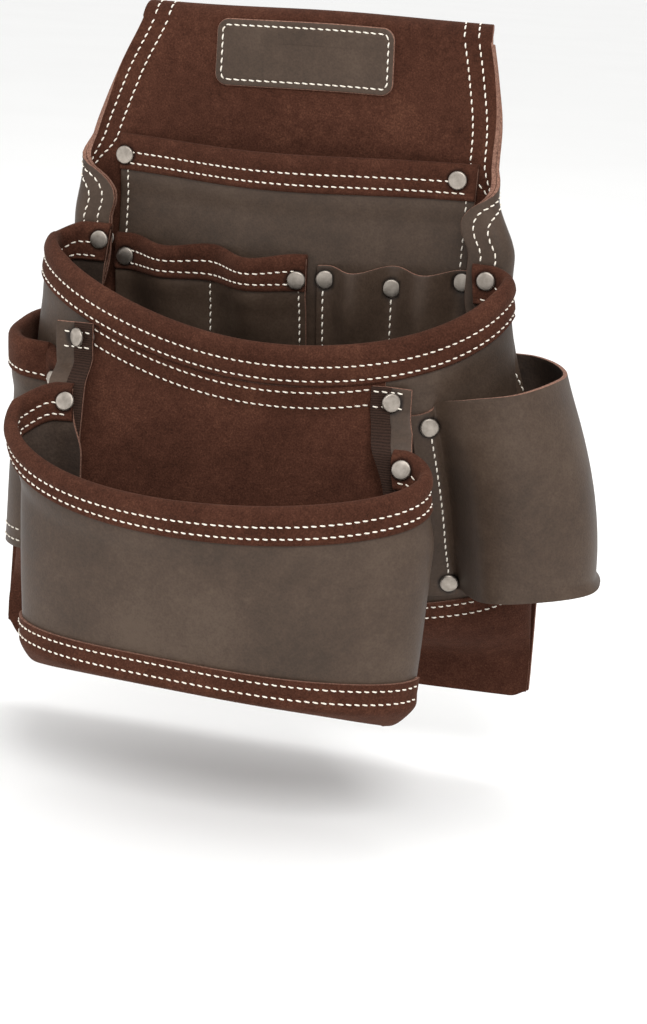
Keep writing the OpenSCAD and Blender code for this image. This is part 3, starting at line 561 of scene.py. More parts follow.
def twinAt(u, h, e):
    x, z = mix(-upper["half"] + 0.5, twin["right"] + twin["lap"], u), -twin["drop"] - h
    cells = cellsAt(x, twin)
    off = twin["bulge"] * cells * rising(z, twin)
    return pile(x, upperFace(x, z) - rimRoom(h, twin["band"]) - off - e, z - sagging(h, cells, twin))


def slotsAt(u, h, e):
    x = mix(slots["left"] - slots["lap"], slots["right"] + slots["lap"], u)
    z = -slots["drop"] + slots["slope"] * u - h
    cells = cellsAt(x, slots)
    off = slots["bulge"] * cells * rising(z, slots)
    return pile(x, upperFace(x, z) - off - e, z - sagging(h, cells, slots))


# bags: a front ellipse, round back corners and ends turned inward
frontU, cornerU, tabU = 0.78, 0.92, 0.16


def fore(u):
    return np.maximum(0, np.cos(np.minimum(1, np.abs(u) / frontU) * math.pi / 2))


def tabRise(u, rise):
    return rise * ease((np.abs(u) - frontU) / tabU)


def bagPlan(u, a, backY, deep, r, tab, e):
    s, v, cy = np.sign(u), np.abs(u), backY - r
    f = np.minimum(1, v / frontU) * math.pi / 2
    g = clamp((v - frontU) / (cornerU - frontU)) * math.pi / 2
    last = tab * (v - cornerU) / (1 - cornerU)
    x = np.where(v <= frontU, (a + e) * np.sin(f),
                 np.where(v <= cornerU, a - r + (r + e) * np.cos(g), a - r - last))
    y = np.where(v <= frontU, cy - (deep + e) * np.cos(f),
                 np.where(v <= cornerU, cy + (r + e) * np.sin(g), backY + e))
    return s * x, y


mainBag = dict(drop=64.5, dip=33, round=1.6, swing=5, rise=(5, 3.3), front=90, band=16, foot=245, sweep=31,
               r=8, tab=(15.5, 10), out=113.4, inset=5.8, shallow=16, settle=3.2)
frontBag = dict(half=103, front=160, drop=138, dip=21, cant=8.5, band=14, foot=247, rimLean=3.4,
                footTilt=3.2, r=11, tab=(10.6, 6.7), rise=6, taper=6, waist=1.5, shift=5.8, swing=1.5,
                shiftHigh=32, shallow=34, bottomY=-102, slack=(0.8, 23, 31), slackDown=(20, 25))
mainFlare = (panel["footHalf"] - mainBag["inset"] - mainBag["out"]) / (mainBag["foot"] - mainBag["drop"])


def mainRim(u):
    swing = mainBag["swing"] * np.sign(u) * np.sin(math.pi * np.minimum(1, np.abs(u) / frontU))
    rise = np.where(u < 0, *mainBag["rise"])
    return -mainBag["drop"] - mainBag["dip"] * fore(u) ** mainBag["round"] - swing + tabRise(u, rise)


def mainLow(u):
    return -mainBag["foot"] + mainBag["sweep"] * (1 - fore(u))


def mainA(z):
    return mainBag["out"] + mainFlare * (-mainBag["drop"] - z)


def mainBack(z, h):
    return panelY - earStand(z) - rimRoom(h, mainBag["band"]) - sheetT


def mainD(z):
    t = clamp((-mainBag["drop"] - z) / (mainBag["foot"] - mainBag["drop"]))
    rimBack = float(mainBack(np.array(-mainBag["drop"] - mainBag["dip"]), np.array(0.0)))
    start = mainBag["front"] + rimBack - mainBag["r"] - sheetT - bandT
    return mix(start, mainBag["shallow"], t ** mainBag["settle"])


def mainXY(u, z, h, e):
    return bagPlan(u, mainA(z), mainBack(z, h), mainD(z), mainBag["r"], np.where(u < 0, *mainBag["tab"]), e)


def mainAt(u, h, e):
    z = mainRim(u) - h
    x, y = mainXY(u, z, h, e)
    return pile(x, y, z)


def mainU(x, z, e):
    return np.sign(x) * frontU * np.arcsin(np.minimum(1, np.abs(x) / (mainA(z) + e))) / (math.pi / 2)


def mainFace(x, z, e):  # taken far enough below the rim to be clear of the band
    return mainXY(mainU(x, z, e), z, 100.0, e)[1]


hem = dict(lap=14, fall=(0, 0.35, 0.7, 1, 1), inset=1, rise=18, corner=(8, 3), cornerAt=0.93,
           rows=(4.85, 5.6))


def hemRows(us, e):  # control rows from the panel's foot up to the top of the lap
    s, rows = np.sin(us / frontU * math.pi / 2), []
    turned = ease((np.abs(s) - hem["cornerAt"]) / (1 - hem["cornerAt"]))
    corner = np.where(s < 0, *hem["corner"]) * turned ** 2
    footX = s * (panel["footHalf"] - hem["inset"]) - panel["footShift"]
    for k in (-4, -3, -2, -1, 0, 1, 2):
        lap = mainAt(us, mainRim(us) - mainLow(us) - max(0, k) * hem["lap"] / 2, sheetT + e)
        f = hem["fall"][max(0, -k)]
        if k >= 0:
            rows.append(lap)
        elif k == -4:
            rows.append(pile(footX, panelY - e, -panel["footDrop"] + panel["footLean"] * s + corner))
        else:
            x = mix(lap[:, 0], footX, f)
            y = mix(lap[:, 1], panelY - e, float(ease(f)))
            rows.append(pile(x, y, mix(mainLow(us), hem["rise"] - panel["footDrop"], f)))
    return np.stack(rows)


def hemAt(u, w, e):  # w from 0 at the panel's foot to 6 at the top of the lap
    return through(hemRows(u, e), w)


# the suede back of the front pocket, its straps and the pocket itself
backing = dict(half=74, top=16.6, sewn=29, hang=112, curve=2.4, shift=(5, 30), flare=6, hem=6, rimZ=-90.0,
               slack=(1.2, 15, 40), slackDown=(44, 30), rows=(19.4, 26.6))
strap = dict(width=18.5, tape=9, drop=(104, 118.5), over=7, inner=(75, 63.5), carry=(73.5, 77.5),
             carryZone=(2, 40), seatZone=(5, 16), foot=-228, tapeFoot=-220)
carry = dict(stand=12, top=-108, high=115, curve=4)  # how the straps bring the front pocket out to its foot


def frontDown(z):  # 0 at the front pocket's rim, 1 at its foot
    return clamp((-frontBag["drop"] - z) / (frontBag["foot"] - frontBag["drop"]))


def bagLean(x, z):
    return x / 100 * mix(frontBag["rimLean"], -frontBag["footTilt"], frontDown(z))


def backFace(x, z):
    rim = mainRim(mainU(x, z, 0))
    zs = np.maximum(z, rim - backing["sewn"])
    fall = 1 - (1 - clamp((rim - z - backing["sewn"]) / backing["hang"])) ** backing["curve"]
    return mix(mainFace(x, zs, sheetT), frontBag["bottomY"] + sheetT, fall)


def backAt(u, h, e):
    shift, high = backing["shift"]
    wide = u * (backing["half"] + backing["flare"])
    x = mix(u * backing["half"] - shift, wide, ease((h - backing["sewn"]) / high))
    z = mainRim(mainU(x, backing["rimZ"], 0)) - h
    start, high = backing["slackDown"]
    slack = slackness(x, z, backing["slack"]) * ease((h - start) / high) * clamp(1.1 - np.abs(u))
    return pile(x, backFace(x, z) - e - slack, z)


def backDepth(u):
    rim = mainRim(mainU(u * backing["half"], backing["rimZ"], 0))
    lean = bagLean(u * (backing["half"] + backing["flare"]), -frontBag["foot"])
    return rim + frontBag["foot"] + backing["hem"] - lean


def carryY(z):
    fall = 1 - (1 - clamp((carry["top"] - z) / carry["high"])) ** carry["curve"]
    return mix(-mainBag["front"] + carry["stand"], frontBag["bottomY"], fall)


def strapX(z, side):
    gap, high = strap["carryZone"]
    return mix(strap["inner"][side], strap["carry"][side], below(z, (-strap["drop"][side] - gap, high)))


def strapY(x, z, side):
    gap, high = strap["seatZone"]
    low = -strap["drop"][side] - gap
    seat = mix(mainFace(x, np.maximum(z, low), sheetT) - sheetT, carryY(z), below(z, (low, high)))
    return np.minimum(backFace(np.minimum(x, backing["half"] - 4), z) - sheetT, seat)


def strapAt(side):
    def at(u, h, e):  # u in millimetres from the strap's inner edge, h below its top
        z = -strap["drop"][side] + strap["over"] - h
        x = strapX(z, side) + u
        p = pile(x, strapY(x, z, side) - e, z)
        return p * ([1, 1, 1] if side else [-1, 1, 1])
    return at


def frontRim(u):
    cant = frontBag["cant"] * np.sign(u) * (1 - fore(u))
    return -frontBag["drop"] - frontBag["dip"] * fore(u) - cant + tabRise(u, frontBag["rise"])


def frontAt(u, h, e):
    z = frontRim(u) - h
    t = frontDown(z)
    back = carryY(z) - 2 * sheetT - rimRoom(h, frontBag["band"])
    rimBack = float(carryY(np.array(-float(frontBag["drop"] + frontBag["dip"])))) - 2 * sheetT - bandT
    start = frontBag["front"] + rimBack - frontBag["r"] - sheetT - bandT
    deep = mix(start, frontBag["shallow"], t * t)
    half = frontBag["half"] - sheetT - bandT - frontBag["taper"] * t * t
    half = half - frontBag["waist"] * np.sin(math.pi * t)
    x, y = bagPlan(u, half, back, deep, frontBag["r"], np.where(u < 0, *frontBag["tab"]), e)
    start, high = frontBag["slackDown"]
    slack = slackness(x, z, frontBag["slack"]) * ease((h - start) / high) * fore(u)
    shift = mix(-frontBag["swing"], frontBag["shift"], ease(h / frontBag["shiftHigh"]))
    return pile(x + shift, y - slack, z + bagLean(x, z))


strip = dict(lap=14, half=86, low=(9, 8), middle=(0.5, 0.4, 0.65), rows=(2.7, 3.5))


def stripRows(us, e):
    s, rows = np.sin(us / frontU * math.pi / 2), []
    x = s * strip["half"]
    low = frontBag["foot"] + strip["low"][0] + strip["low"][1] * s * s
    foot = pile(x, frontBag["bottomY"] - e, bagLean(x, -frontBag["foot"]) - low)
    for k in (-2, -1, 0, 1, 2):
        lap = frontAt(us, frontRim(us) + frontBag["foot"] - max(0, k) * strip["lap"] / 2, sheetT + e)
        middle = mix(lap, foot, np.array(strip["middle"]))
        rows.append(lap if k >= 0 else foot if k == -2 else middle)
    return np.stack(rows)


def stripAt(u, w, e):  # w from 0 at the strip's foot to 4 at the top of the lap
    return through(stripRows(u, e), w)


# side pocket and hammer holder: strips whose plan runs through a few points
# a plan point is how far across, then how far forward; a pair gives the value at the top and at the foot
sidePocket = dict(rim=-118, rise=14, low=-222, out=(7, 2.6), band=17, top=-108, lap=(93, 99, 104),
                  corner=((115, 121), (-63, -48)), outer=((2, (-53, -39)), (0, (-37, -26))),
                  turn=((1, 3), (-23, -15)), end=((118.5, 139.5), (-13, -9.5)), rivet=(0.1, 12),
                  rows=(4.0, 10.0), footRow=(0.2, 0.94))
holder = dict(out=(35, 39), rim=(-125, 22, 0.55), foot=(-219, 18, 0.6), top=-110, high=100, sewn=(84, 24, 10),
              lap=(7, 4, 6), front=((24, (-78, -70)), (47, (-80, -72))),
              outer=((3, (-64, -58)), (0, (-42, -40)), (8, (-19, -17))), round=(12, 0.6, 1), flange=(21, 27))


def edgeX(z):
    ts = np.linspace(0.6, 1, 41)  # the fold lies in the outer part
    reach = panelAt(ts[:, None], np.ravel(z)[None], panel["thick"])[..., 0].max(0)
    return reach.reshape(np.shape(z)) - leanX(z)


def onMain(x, z):
    return np.stack(np.broadcast_arrays(x, mainFace(x, z, sheetT)), -1)


def planPoint(x, ys, t):
    return np.stack(np.broadcast_arrays(x + 0 * t, mix(*ys, t)), -1)


def stripPlan(points, t, e):
    last = len(points) - 1
    q = through(points, t)
    g = unit(through(points, np.minimum(last, t + 0.05)) - through(points, np.maximum(0, t - 0.05)))
    return q + np.stack([g[..., 1], -g[..., 0]], -1) * np.asarray(e)[..., None]


def sidePlan(z):
    t = clamp((sidePocket["top"] - z) / (sidePocket["top"] - sidePocket["low"]))
    w = mainA(z) + mix(*sidePocket["out"], t)
    (cornerX, cornerY), (turnX, turnY), (endX, endY) = (sidePocket[k] for k in ("corner", "turn", "end"))
    lap = [onMain(x + 0 * z, z) for x in sidePocket["lap"]]
    outer = [planPoint(w - x, y, t) for x, y in sidePocket["outer"]]
    return np.stack(lap + [planPoint(mix(*cornerX, t), cornerY, t)] + outer
                    + [planPoint(mix(w - turnX[0], panel["footHalf"] - turnX[1], t), turnY, t),
                       planPoint(mix(*endX, ease(t)), endY, t)])


def sideAt(u, h, e):
    u, h, e = (np.ravel(a).astype(float) for a in np.broadcast_arrays(u, h, e))
    z = sidePocket["rim"] + sidePocket["rise"] * u - h
    p = stripPlan(sidePlan(z), 7 * u, e + rimRoom(h, sidePocket["band"]))
    return pile(-p[:, 0], p[:, 1], z)


def sideDepth(u):
    return sidePocket["rim"] + sidePocket["rise"] * u - sidePocket["low"]


def holderPlan(z):
    t = (holder["top"] - z) / holder["high"]
    sewn, spread, bow = holder["sewn"]
    s, b = sewn + spread * t - bow * t * t, edgeX(z)
    w = b + mix(*holder["out"], t) - sheetT
    start, widen, end = holder["lap"]
    roundX, roundY, meet = holder["round"]
    behind = (linerBack, linerBack)
    return np.stack([onMain(s - start - widen * t, z), onMain(s, z), onMain(s + end, z)]
                    + [planPoint(s + x, y, t) for x, y in holder["front"]]
                    + [planPoint(w - x, y, t) for x, y in holder["outer"]]
                    + [planPoint(b + roundX, (linerBack - roundY, linerBack - roundY), t),
                       planPoint(b - meet, behind, t), planPoint(b - mix(*holder["flange"], t), behind, t)])


def holderRim(u):
    low, rise, across = holder["rim"]
    return low + rise * ease(u / across)


def holderFoot(u):
    low, rise, across = holder["foot"]
    return low + rise * ease(u / across)


def holderAt(u, h, e):
    u, h, e = (np.ravel(a).astype(float) for a in np.broadcast_arrays(u, h, e))
    z = holderRim(u) - h
    p = stripPlan(holderPlan(z), 10 * u, e)
    return pile(p[:, 0], p[:, 1], z)


# rivets


def spot(at, u, h, e, grip, facing=1):
    one = [np.array([float(v)]) for v in (u, h, e)]
    out = surfaceNormal(at, *one, facing)[0]
    return at(*one)[0], out, grip


def topRivet(k):  # sits on the tape's edge and faces a little outward
    x, z = strap["inner"][k] + strap["tape"] + (-1.5, 0.5)[k], -strap["drop"][k]
    y = float(strapY(np.array(x), np.array(z), k)) - sheetT - tapeT
    out = np.array([0.5, -0.8, 0]) / math.hypot(0.5, 0.8)
    flip = np.array([1, 1, 1]) if k else np.array([-1, 1, 1])
    return np.array([x, y, z]) * flip, out * flip, tapeT + 3 * sheetT


def twinU(x):
    start = -upper["half"] + 0.5
    return (x - start) / (twin["right"] + twin["lap"] - start)


def slotsU(x):
    start = slots["left"] - slots["lap"]
    return (x - start) / (slots["right"] + slots["lap"] - start)


backT, boundT = panel["thick"] + panel["liner"], sheetT + 2 * bandT
rivetGroups = {
    "upper_pocket": [spot(upperAt, x / upper["half"], h, sheetT + bandT, boundT + backT)
                     for x, h in ((-87.5, 8.5), (81, 6))],
    "twin_pocket": [spot(twinAt, twinU(twin["left"]), 9.5, sheetT + bandT, boundT + sheetT + backT),
                    spot(twinAt, twinU(twin["right"]), 10.5, sheetT + bandT, boundT + sheetT)],
    "tool_slot": [spot(slotsAt, slotsU(slots["left"]), 7, sheetT, 2 * sheetT),
                  spot(slotsAt, slotsU(slots["divider"]), 11, sheetT, 2 * sheetT),
                  spot(slotsAt, slotsU(slots["right"]), 6, sheetT, 2 * sheetT + backT)],
    "main_pocket": [spot(mainAt, u, h, -bandT, boundT + backT, -1) for u, h in ((-0.978, 5.4), (0.947, 4.6))],
    "gusset_top": [topRivet(0), topRivet(1)],
    "gusset_low": [spot(frontAt, u, 5.5, -bandT, boundT + sheetT, -1) for u in (-0.98, 0.942)],
    "side_pocket": [spot(sideAt, *sidePocket["rivet"], sheetT + bandT, boundT + sheetT, -1)],
    "holder_front": [spot(holderAt, 0.1, h, sheetT, 2 * sheetT) for h in (7, 88)],
    "holder_rear": [spot(holderAt, 0.95, h, sheetT, sheetT + backT) for h in (14, 82)],
}
rivets += [r for group in rivetGroups.values() for r in group]


def lathe(profile, seat, out, count=56):  # a turned solid on an axis
    angle = np.arange(count) * 2 * math.pi / count
    helper = np.array([1.0, 0, 0]) if abs(out[2]) > 0.9 else np.array([0, 0, 1.0])
    aside = unit(np.cross(helper, out))
    other = np.cross(out, aside)
    spokes = np.cos(angle)[:, None] * aside + np.sin(angle)[:, None] * other
    rings = [seat + out * high + spokes * wide for wide, high in profile]
    return np.concatenate(rings), tubeFaces(len(profile), count)


# each profile is (radius, height) from the leather up
rivetForm = dict(
    cap=[(1.6, 0), (3.3, -0.1), (4.2, 0.0), (4.5, 0.25), (4.55, 0.7), (4.5, 1.0), (4.25, 1.38), (4.0, 1.5),
         (3.8, 1.55), (2.0, 1.62), (0.4, 1.64)],
    burr=[(1.7, -0.1), (3.6, -0.05), (4.0, 0.15), (4.0, 0.6), (3.7, 0.95), (2.2, 1.05), (1.9, 1.1),
          (1.75, 1.5), (1.1, 1.75), (0.3, 1.8)],
    sunk=0.55, postR=1.6, postUp=0.3, burrIn=0.1, rounding=0.08)


def rivetSet(name, group):
    parts = {"caps": [], "burrs": []}
    for seat, out, grip in group:
        sunk = seat - out * rivetForm["sunk"]
        post = [(rivetForm["postR"], -grip), (rivetForm["postR"], rivetForm["postUp"])]
        parts["caps"] += [lathe(rivetForm["cap"], sunk, out), lathe(post, sunk, out, 24)]
        parts["burrs"] += [lathe(rivetForm["burr"], seat - out * (grip - rivetForm["burrIn"]), -out)]
    for kind, lumps in parts.items():
        points, faces = [], []
        for p, f in lumps:
            base = sum(len(q) for q in points)
            points.append(p)
            faces += [[v + base for v in face] for face in f]
        word = {"caps": "rivet", "burrs": "burr"}[kind] + ("" if len(group) == 1 else "s")
        node = f"{name}_{word}"
        piece = meshObject(node + "_finished", np.concatenate(points), faces, [0] * len(faces), [nickel])
        roundEdges(piece, rivetForm["rounding"])
        keep(piece, "rivet_metal", node)


for groupName, group in rivetGroups.items():
    rivetSet(groupName, group)
print("rivets made")

# leather pieces


def bandProfile(band, top, rows, fat=1.0):  # closed outline of a rim band, with a sunk line at each row
    outer = sheetT + bandT
    knots = [(band + 0.3, sheetT + 0.1), (band + 0.2, outer - 0.5), (band - 0.6, outer)]
    for row in sorted(rows, reverse=True):
        knots += [(row + 1.7, outer + 0.15), (row, outer - 0.32), (row - 1.7, outer + 0.2 * fat)]
    # over the roll at the top, then down the inside
    knots += [(3.2, outer + 0.55 * fat), (0.6, outer + 0.35 * fat), (-0.75 * top, outer - 0.7),
              (-top, sheetT / 2), (-0.75 * top, -bandT + 0.7), (0.6, -bandT - 0.35 * fat),
              (3.2, -bandT - 0.4 * fat)]
    for row in sorted(rows):
        knots += [(row - 1.7, -bandT - 0.1), (row, -bandT + 0.25), (row + 1.7, -bandT - 0.1)]
    knots += [(band - 0.6, -bandT), (band + 0.2, -bandT + 0.5), (band + 0.3, -0.1)]
    knots, last = np.array(knots), len(knots) - 1
    outline = curve(lambda k: knots[k], last, np.linspace(0, last, 2 * last + 1))
    return outline.tolist() + [(band, 0.0), (0.2, 0.0), (0.2, sheetT), (band, sheetT)]


def sheetGrid(at, us, deep, rows, e):
    us = np.asarray(us, float)
    depth = deep(us) if callable(deep) else np.full(len(us), float(deep))
    return np.stack([at(us, depth * k, np.full(len(us), e)) for k in np.linspace(1, 0, rows)])


def pocketSheet(node, at, us, deep, rows):
    near, far = (sheetGrid(at, us, deep, rows, e) for e in (0.0, sheetT))
    keep(skin(node + "_leather", near, far, smooth, flesh), "smooth_leather", node)


bagUs = np.concatenate([np.linspace(-1, -frontU, 30), np.linspace(-frontU, frontU, 170)[1:-1],
                        np.linspace(frontU, 1, 30)])

panelPiece = skin("back_panel_suede", panelRows(0.0), panelRows(panel["thick"]), suede, suede)
keep(panelPiece, "suede", "back_panel")
linerPiece = skin("back_liner_leather", linerRows(-panel["liner"]), linerRows(0.0), smooth, smooth)
keep(linerPiece, "smooth_leather", "back_liner")

# rings are (in from the edge, above the panel): a rounded edge, a groove for the thread, a flat middle
badge = dict(width=89, height=32, radius=6, x=0.5, z=30.2, stitchIn=3.0, stitchHigh=1.35,
             rings=[(0, 0.0), (0, 0.9), (0.35, 1.4), (0.9, 1.5), (2.2, 1.5), (3.0, 1.1), (3.8, 1.5),
                    (5.2, 1.55), (6.4, 1.25), (11, 1.25)])


def badgeOutline(inset, count=12):
    w, h, r = badge["width"] / 2 - inset, badge["height"] / 2 - inset, max(0.5, badge["radius"] - inset)
    points = []
    for cx, cz, start in ((1, 1, 0), (-1, 1, 90), (-1, -1, 180), (1, -1, 270)):
        for k in range(count + 1):
            a = math.radians(start + 90 * k / count)
            points.append((badge["x"] + cx * (w - r) + r * math.cos(a),
                           badge["z"] + cz * (h - r) + r * math.sin(a)))
    arcs = np.array(points).reshape(4, count + 1, 2)
    sides = [np.linspace(arcs[k, -1], arcs[(k + 1) % 4, 0], count + 2)[1:-1] for k in range(4)]
    return np.concatenate([part for pair in zip(arcs, sides) for part in pair])


badgeRings = []
for inset, high in badge["rings"]:
    ring = badgeOutline(inset)
    badgeRings.append(pile(ring[:, 0], panelY - high, ring[:, 1]))
around = len(badgeRings[0])
badgeFaces = tubeFaces(len(badgeRings), around)
badgeIndex = [1] * (2 * around) + [0] * (len(badgeFaces) - 2 * around)
keep(meshObject("badge_patch_leather", np.concatenate(badgeRings), badgeFaces, badgeIndex, [smooth, cutEdge]),
     "smooth_leather", "badge_patch")

pocketSheet("upper_pocket", upperAt, np.linspace(-1, 1, 121), upper["deep"], 80)
pocketSheet("twin_pocket", twinAt, np.linspace(0, 1, 81), twin["deep"], 56)
pocketSheet("tool_slots", slotsAt, np.linspace(0, 1, 61), slots["deep"], 56)
pocketSheet("main_pocket", mainAt, bagUs, lambda u: mainRim(u) - mainLow(u), 90)
pocketSheet("front_pocket", frontAt, bagUs, lambda u: frontRim(u) + frontBag["foot"], 64)
pocketSheet("side_pocket", sideAt, np.linspace(0, 1, 81), sideDepth, 60)
pocketSheet("hammer_holder", holderAt, np.linspace(0, 1, 181), lambda u: holderRim(u) - holderFoot(u), 56)

bands = {  # at, us, height, roll, rows of stitches, fatness
    "upper_pocket_band": (upperAt, np.linspace(-1, 1, 121), upper["band"], 2.0, (6.8, 12.2), 1.0),
    "twin_pocket_band": (twinAt, np.linspace(0, 1, 81), twin["band"], 2.0, (6.4, 12.8), 0.9),
    "main_pocket_band": (mainAt, bagUs, mainBag["band"], 2.8, (7.1, 13.7), 1.6),
    "front_pocket_band": (frontAt, bagUs, frontBag["band"], 2.2, (6.3, 11.3), 1.6),
    "side_pocket_band": (sideAt, np.linspace(0, 1, 81), sidePocket["band"], 2.0, (14.2,), 1.0),
}
for name, (at, us, band, roll, rows, fat) in bands.items():
    keep(swept(name + "_suede", at, us, bandProfile(band, roll, rows, fat), suede), "suede", name)
    facing = -1 if at is sideAt else 1
    outer = [alongRow(at, us[3:-3], row, sheetT + bandT - 0.28, facing) for row in rows]
    inner = [alongRow(at, us[3:-3], row, -bandT + 0.2, -facing) for row in rows]
    keep(stitches(name + "_thread", outer + inner), "suede")
print("pockets made")


def foldedStrip(node, at, us, ws):  # a suede strip sewn over a pocket's foot
    near, far = (np.stack([at(us, np.full(len(us), w), e) for w in ws]) for e in (0.0, bandT))
    keep(skin(node + "_suede", near, far, suede, suede), "suede", node)


hemUs = np.linspace(-frontU, frontU, 170)
foldedStrip("main_pocket_hem", hemAt, hemUs, np.linspace(0, 6, 49))
backUs = np.linspace(-1, 1, 101)


def backGrid(e):
    deep = backDepth(backUs)
    return np.stack([backAt(backUs, mix(deep, backing["top"], k), np.full(101, e))
                     for k in np.linspace(0, 1, 80)])


keep(skin("front_pocket_back_suede", backGrid(0.0), backGrid(sheetT), suede, suede),
     "suede", "front_pocket_back")
for k, word in enumerate(("left", "right")):
    at = strapAt(k)
    top = -strap["drop"][k] + strap["over"]
    gridU = np.linspace(0, strap["width"], 14)
    near, far = (sheetGrid(at, gridU, top - strap["foot"], 60, e) for e in (0.0, sheetT))
    keep(skin("front_gusset_" + word + "_leather", near, far, smooth, flesh),
         "smooth_leather", "front_gusset_" + word)
    tapeU = np.linspace(0, strap["tape"], 9)
    near, far = (sheetGrid(at, tapeU, top - strap["tapeFoot"], 60, e) for e in (sheetT, sheetT + tapeT))
    keep(skin("gusset_tape_" + word + "_woven", near, far, tape, tape, tape, 0.2),
         "woven_tape", "gusset_tape_" + word)

stripUs = np.linspace(-frontU, frontU, 150)
foldedStrip("front_pocket_hem", stripAt, stripUs, np.linspace(0, 4, 33))
print("suede made")

# sewing


def panelLine(side, inset, zs, o):  # a row near the panel's side edge, o in front of the seam
    zs = np.asarray(zs, float)
    t = side * (1 - inset / flatHalf(zs))
    dt, dz = 0.004, 0.8
    across = panelAt(t + dt, zs, o) - panelAt(t - dt, zs, o)
    up = panelAt(t, zs + dz, o) - panelAt(t, zs - dz, o)
    return panelAt(t, zs, o), unit(np.cross(across, up) * np.sign(o))


def flapLine(ts, vs):  # a row on the outside of the top bend and the flap behind it
    out = flapAt(ts, vs, panel["thick"] + 0.5) - flapAt(ts, vs, panel["thick"] - 0.5)
    return flapAt(ts, vs, panel["thick"]), unit(out)


sewnZ = np.linspace(panel["bendZ"] - 1, panel["rowsLow"], 160)
panelRowsSewn = [panelLine(s, inset, sewnZ, o)
                 for s in (-1, 1) for inset in panel["rows"] for o in (panel["thick"], -panel["liner"])]
overTop = np.concatenate([np.linspace(0.06, math.pi, 16), math.pi + np.linspace(3, 91, 40)])
bendHalf = float(flatHalf(np.array(panel["bendZ"])))
panelRowsSewn += [flapLine(np.full(len(overTop), s * (1 - inset / bendHalf)), overTop)
                  for s in (-1, 1) for inset in panel["rows"]]
panelRowsSewn += [flapLine(np.linspace(-0.95, 0.95, 120), np.full(120, math.pi + low))
                  for low in panel["flapRows"]]
keep(stitches("back_panel_thread", panelRowsSewn), "suede")

ring = badgeOutline(badge["stitchIn"])
ring = np.concatenate([ring, ring[:1]])
ringLine = pile(ring[:, 0], panelY - badge["stitchHigh"], ring[:, 1])
keep(stitches("badge_thread", [(ringLine, np.tile([0, -1.0, 0], (len(ring), 1)))]), "smooth_leather")


def hemLine(at, us, w):  # a row along a folded strip
    ws = np.full(len(us), float(w))
    du, dw = 0.004, 0.05
    across = at(us + du, ws, bandT) - at(us - du, ws, bandT)
    up = at(us, ws + dw, bandT) - at(us, ws - dw, bandT)
    return at(us, ws, bandT), unit(np.cross(across, up))


keep(stitches("main_hem_thread", [hemLine(hemAt, hemUs[3:-3], w) for w in hem["rows"]]), "suede")
keep(stitches("front_hem_thread", [hemLine(stripAt, stripUs[3:-3], w) for w in strip["rows"]]), "suede")
keep(stitches("front_back_thread", [alongRow(backAt, backUs[2:-2], h, sheetT) for h in backing["rows"]]),
     "suede")


def strapRow(k, h):  # the back's rows carried on over a strap and its tape
    us = np.linspace(0.5, strap["width"] - 3.5, 40)
    z = alongRow(backAt, np.array([-0.9, 0.9]), h, sheetT)[0][k, 2]
    top = -strap["drop"][k] + strap["over"]
    return alongRow(strapAt(k), us, top - z, sheetT + tapeT * (us < strap["tape"]), 2 * k - 1)


keep(stitches("strap_thread", [strapRow(k, h) for k in (0, 1) for h in backing["rows"]]), "woven_tape")


def sideFoot(inset):  # a short row a little above the side pocket's low edge
    us = np.linspace(*sidePocket["footRow"], 60)
    return alongRow(sideAt, us, lambda u: sideDepth(u) - inset, sheetT, -1)


keep(stitches("side_foot_thread", [sideFoot(inset) for inset in sidePocket["rows"]]), "smooth_leather")
keep(stitches("holder_thread", [downRow(holderAt, 0.1, 12, 83, sheetT)]), "smooth_leather")
keep(stitches("cell_thread", [
    downRow(twinAt, twinU(twin["divider"]), 2, 80, sheetT + 0.1),
    downRow(twinAt, twinU(twin["right"] + 1), 14, 80, sheetT),
    downRow(slotsAt, slotsU(slots["left"] - 1), 12, 78, sheetT),
    downRow(slotsAt, slotsU(slots["divider"]), 12, 78, sheetT),
    *[downRow(upperAt, u, 14, 60, sheetT) for u in (0.955, -0.955)]]), "smooth_leather")
print("sewing done")

# floor, light and camera

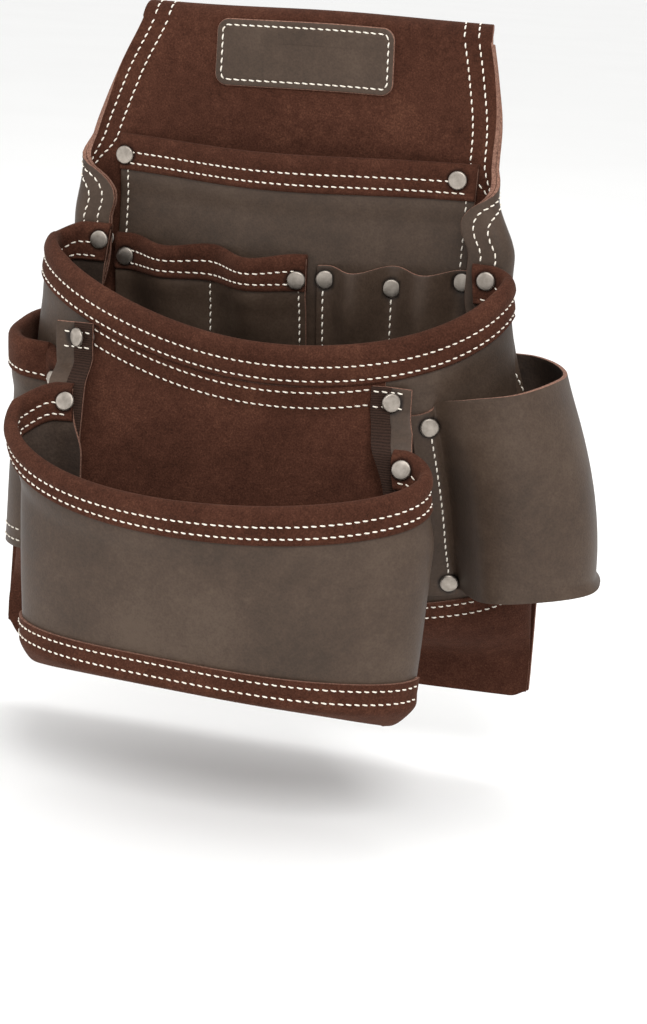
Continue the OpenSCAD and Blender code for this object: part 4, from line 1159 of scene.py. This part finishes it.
floorMaterial, floorTree, floorShader, floorWhere = newMaterial("paleFloor", {"Roughness": 0.9})
floorTone = add(floorTree, "TexNoise", {"Scale": per(400), "Detail": 2, "Roughness": 0.55},
                floorWhere)
floorShade = add(floorTree, "ValToRGB", None, {0: floorTone}, [(0.3, "#FAFAF9"), (0.7, "#FCFCFB")])
wire(floorTree, floorShader, {"Base Color": floorShade})
bpy.ops.mesh.primitive_plane_add(size=60, location=(0, 0, -0.32))
floor = bpy.context.object
floor.name = "floor"
floor.data.materials.append(floorMaterial)

world = bpy.data.worlds.new("studio")
bpy.context.scene.world = world
world.use_nodes = True
world.node_tree.nodes["Background"].inputs[0].default_value = (1, 1, 1, 1)
world.node_tree.nodes["Background"].inputs[1].default_value = 0.95


def softLight(name, place, target, size, power):
    data = bpy.data.lights.new(name, "AREA")
    data.size, data.energy = size, power
    light = bpy.data.objects.new(name, data)
    light.location = place
    light.rotation_euler = (Vector(target) - Vector(place)).to_track_quat("-Z", "Y").to_euler()
    bpy.context.scene.collection.objects.link(light)


softLight("keyLight", (0.7, -1.5, 1.3), (0, -0.05, -0.12), 0.8, 24)
softLight("fillLight", (-1.5, -1.1, 0.5), (0, -0.05, -0.12), 1.4, 6)
softLight("topLight", (0.1, 0.4, 1.6), (0, -0.02, -0.1), 0.9, 10)

view = dict(azimuth=15, elevation=15, roll=3.6, distance=1150, target=(22.2, 0, -196.4), lens=79.453125)
a, e, r = (math.radians(view[k]) for k in ("azimuth", "elevation", "roll"))
back = Vector((math.sin(a) * math.cos(e), -math.cos(a) * math.cos(e), math.sin(e)))
right = (-back).cross(Vector((0, 0, 1))).normalized()
up = right.cross(-back)
rolledRight = math.cos(r) * right + math.sin(r) * up
rolledUp = -math.sin(r) * right + math.cos(r) * up
camera = bpy.data.objects.new("camera", bpy.data.cameras.new("camera"))
camera.data.lens = view["lens"]
camera.data.sensor_width = 36
place = (Vector(view["target"]) + back * view["distance"]) * metre
camera.matrix_world = Matrix((
    (rolledRight.x, rolledUp.x, back.x, place.x), (rolledRight.y, rolledUp.y, back.y, place.y),
    (rolledRight.z, rolledUp.z, back.z, place.z), (0, 0, 0, 1)))
bpy.context.scene.collection.objects.link(camera)
bpy.context.scene.camera = camera
bpy.context.scene.view_settings.view_transform = "Standard"

print("scene ready")
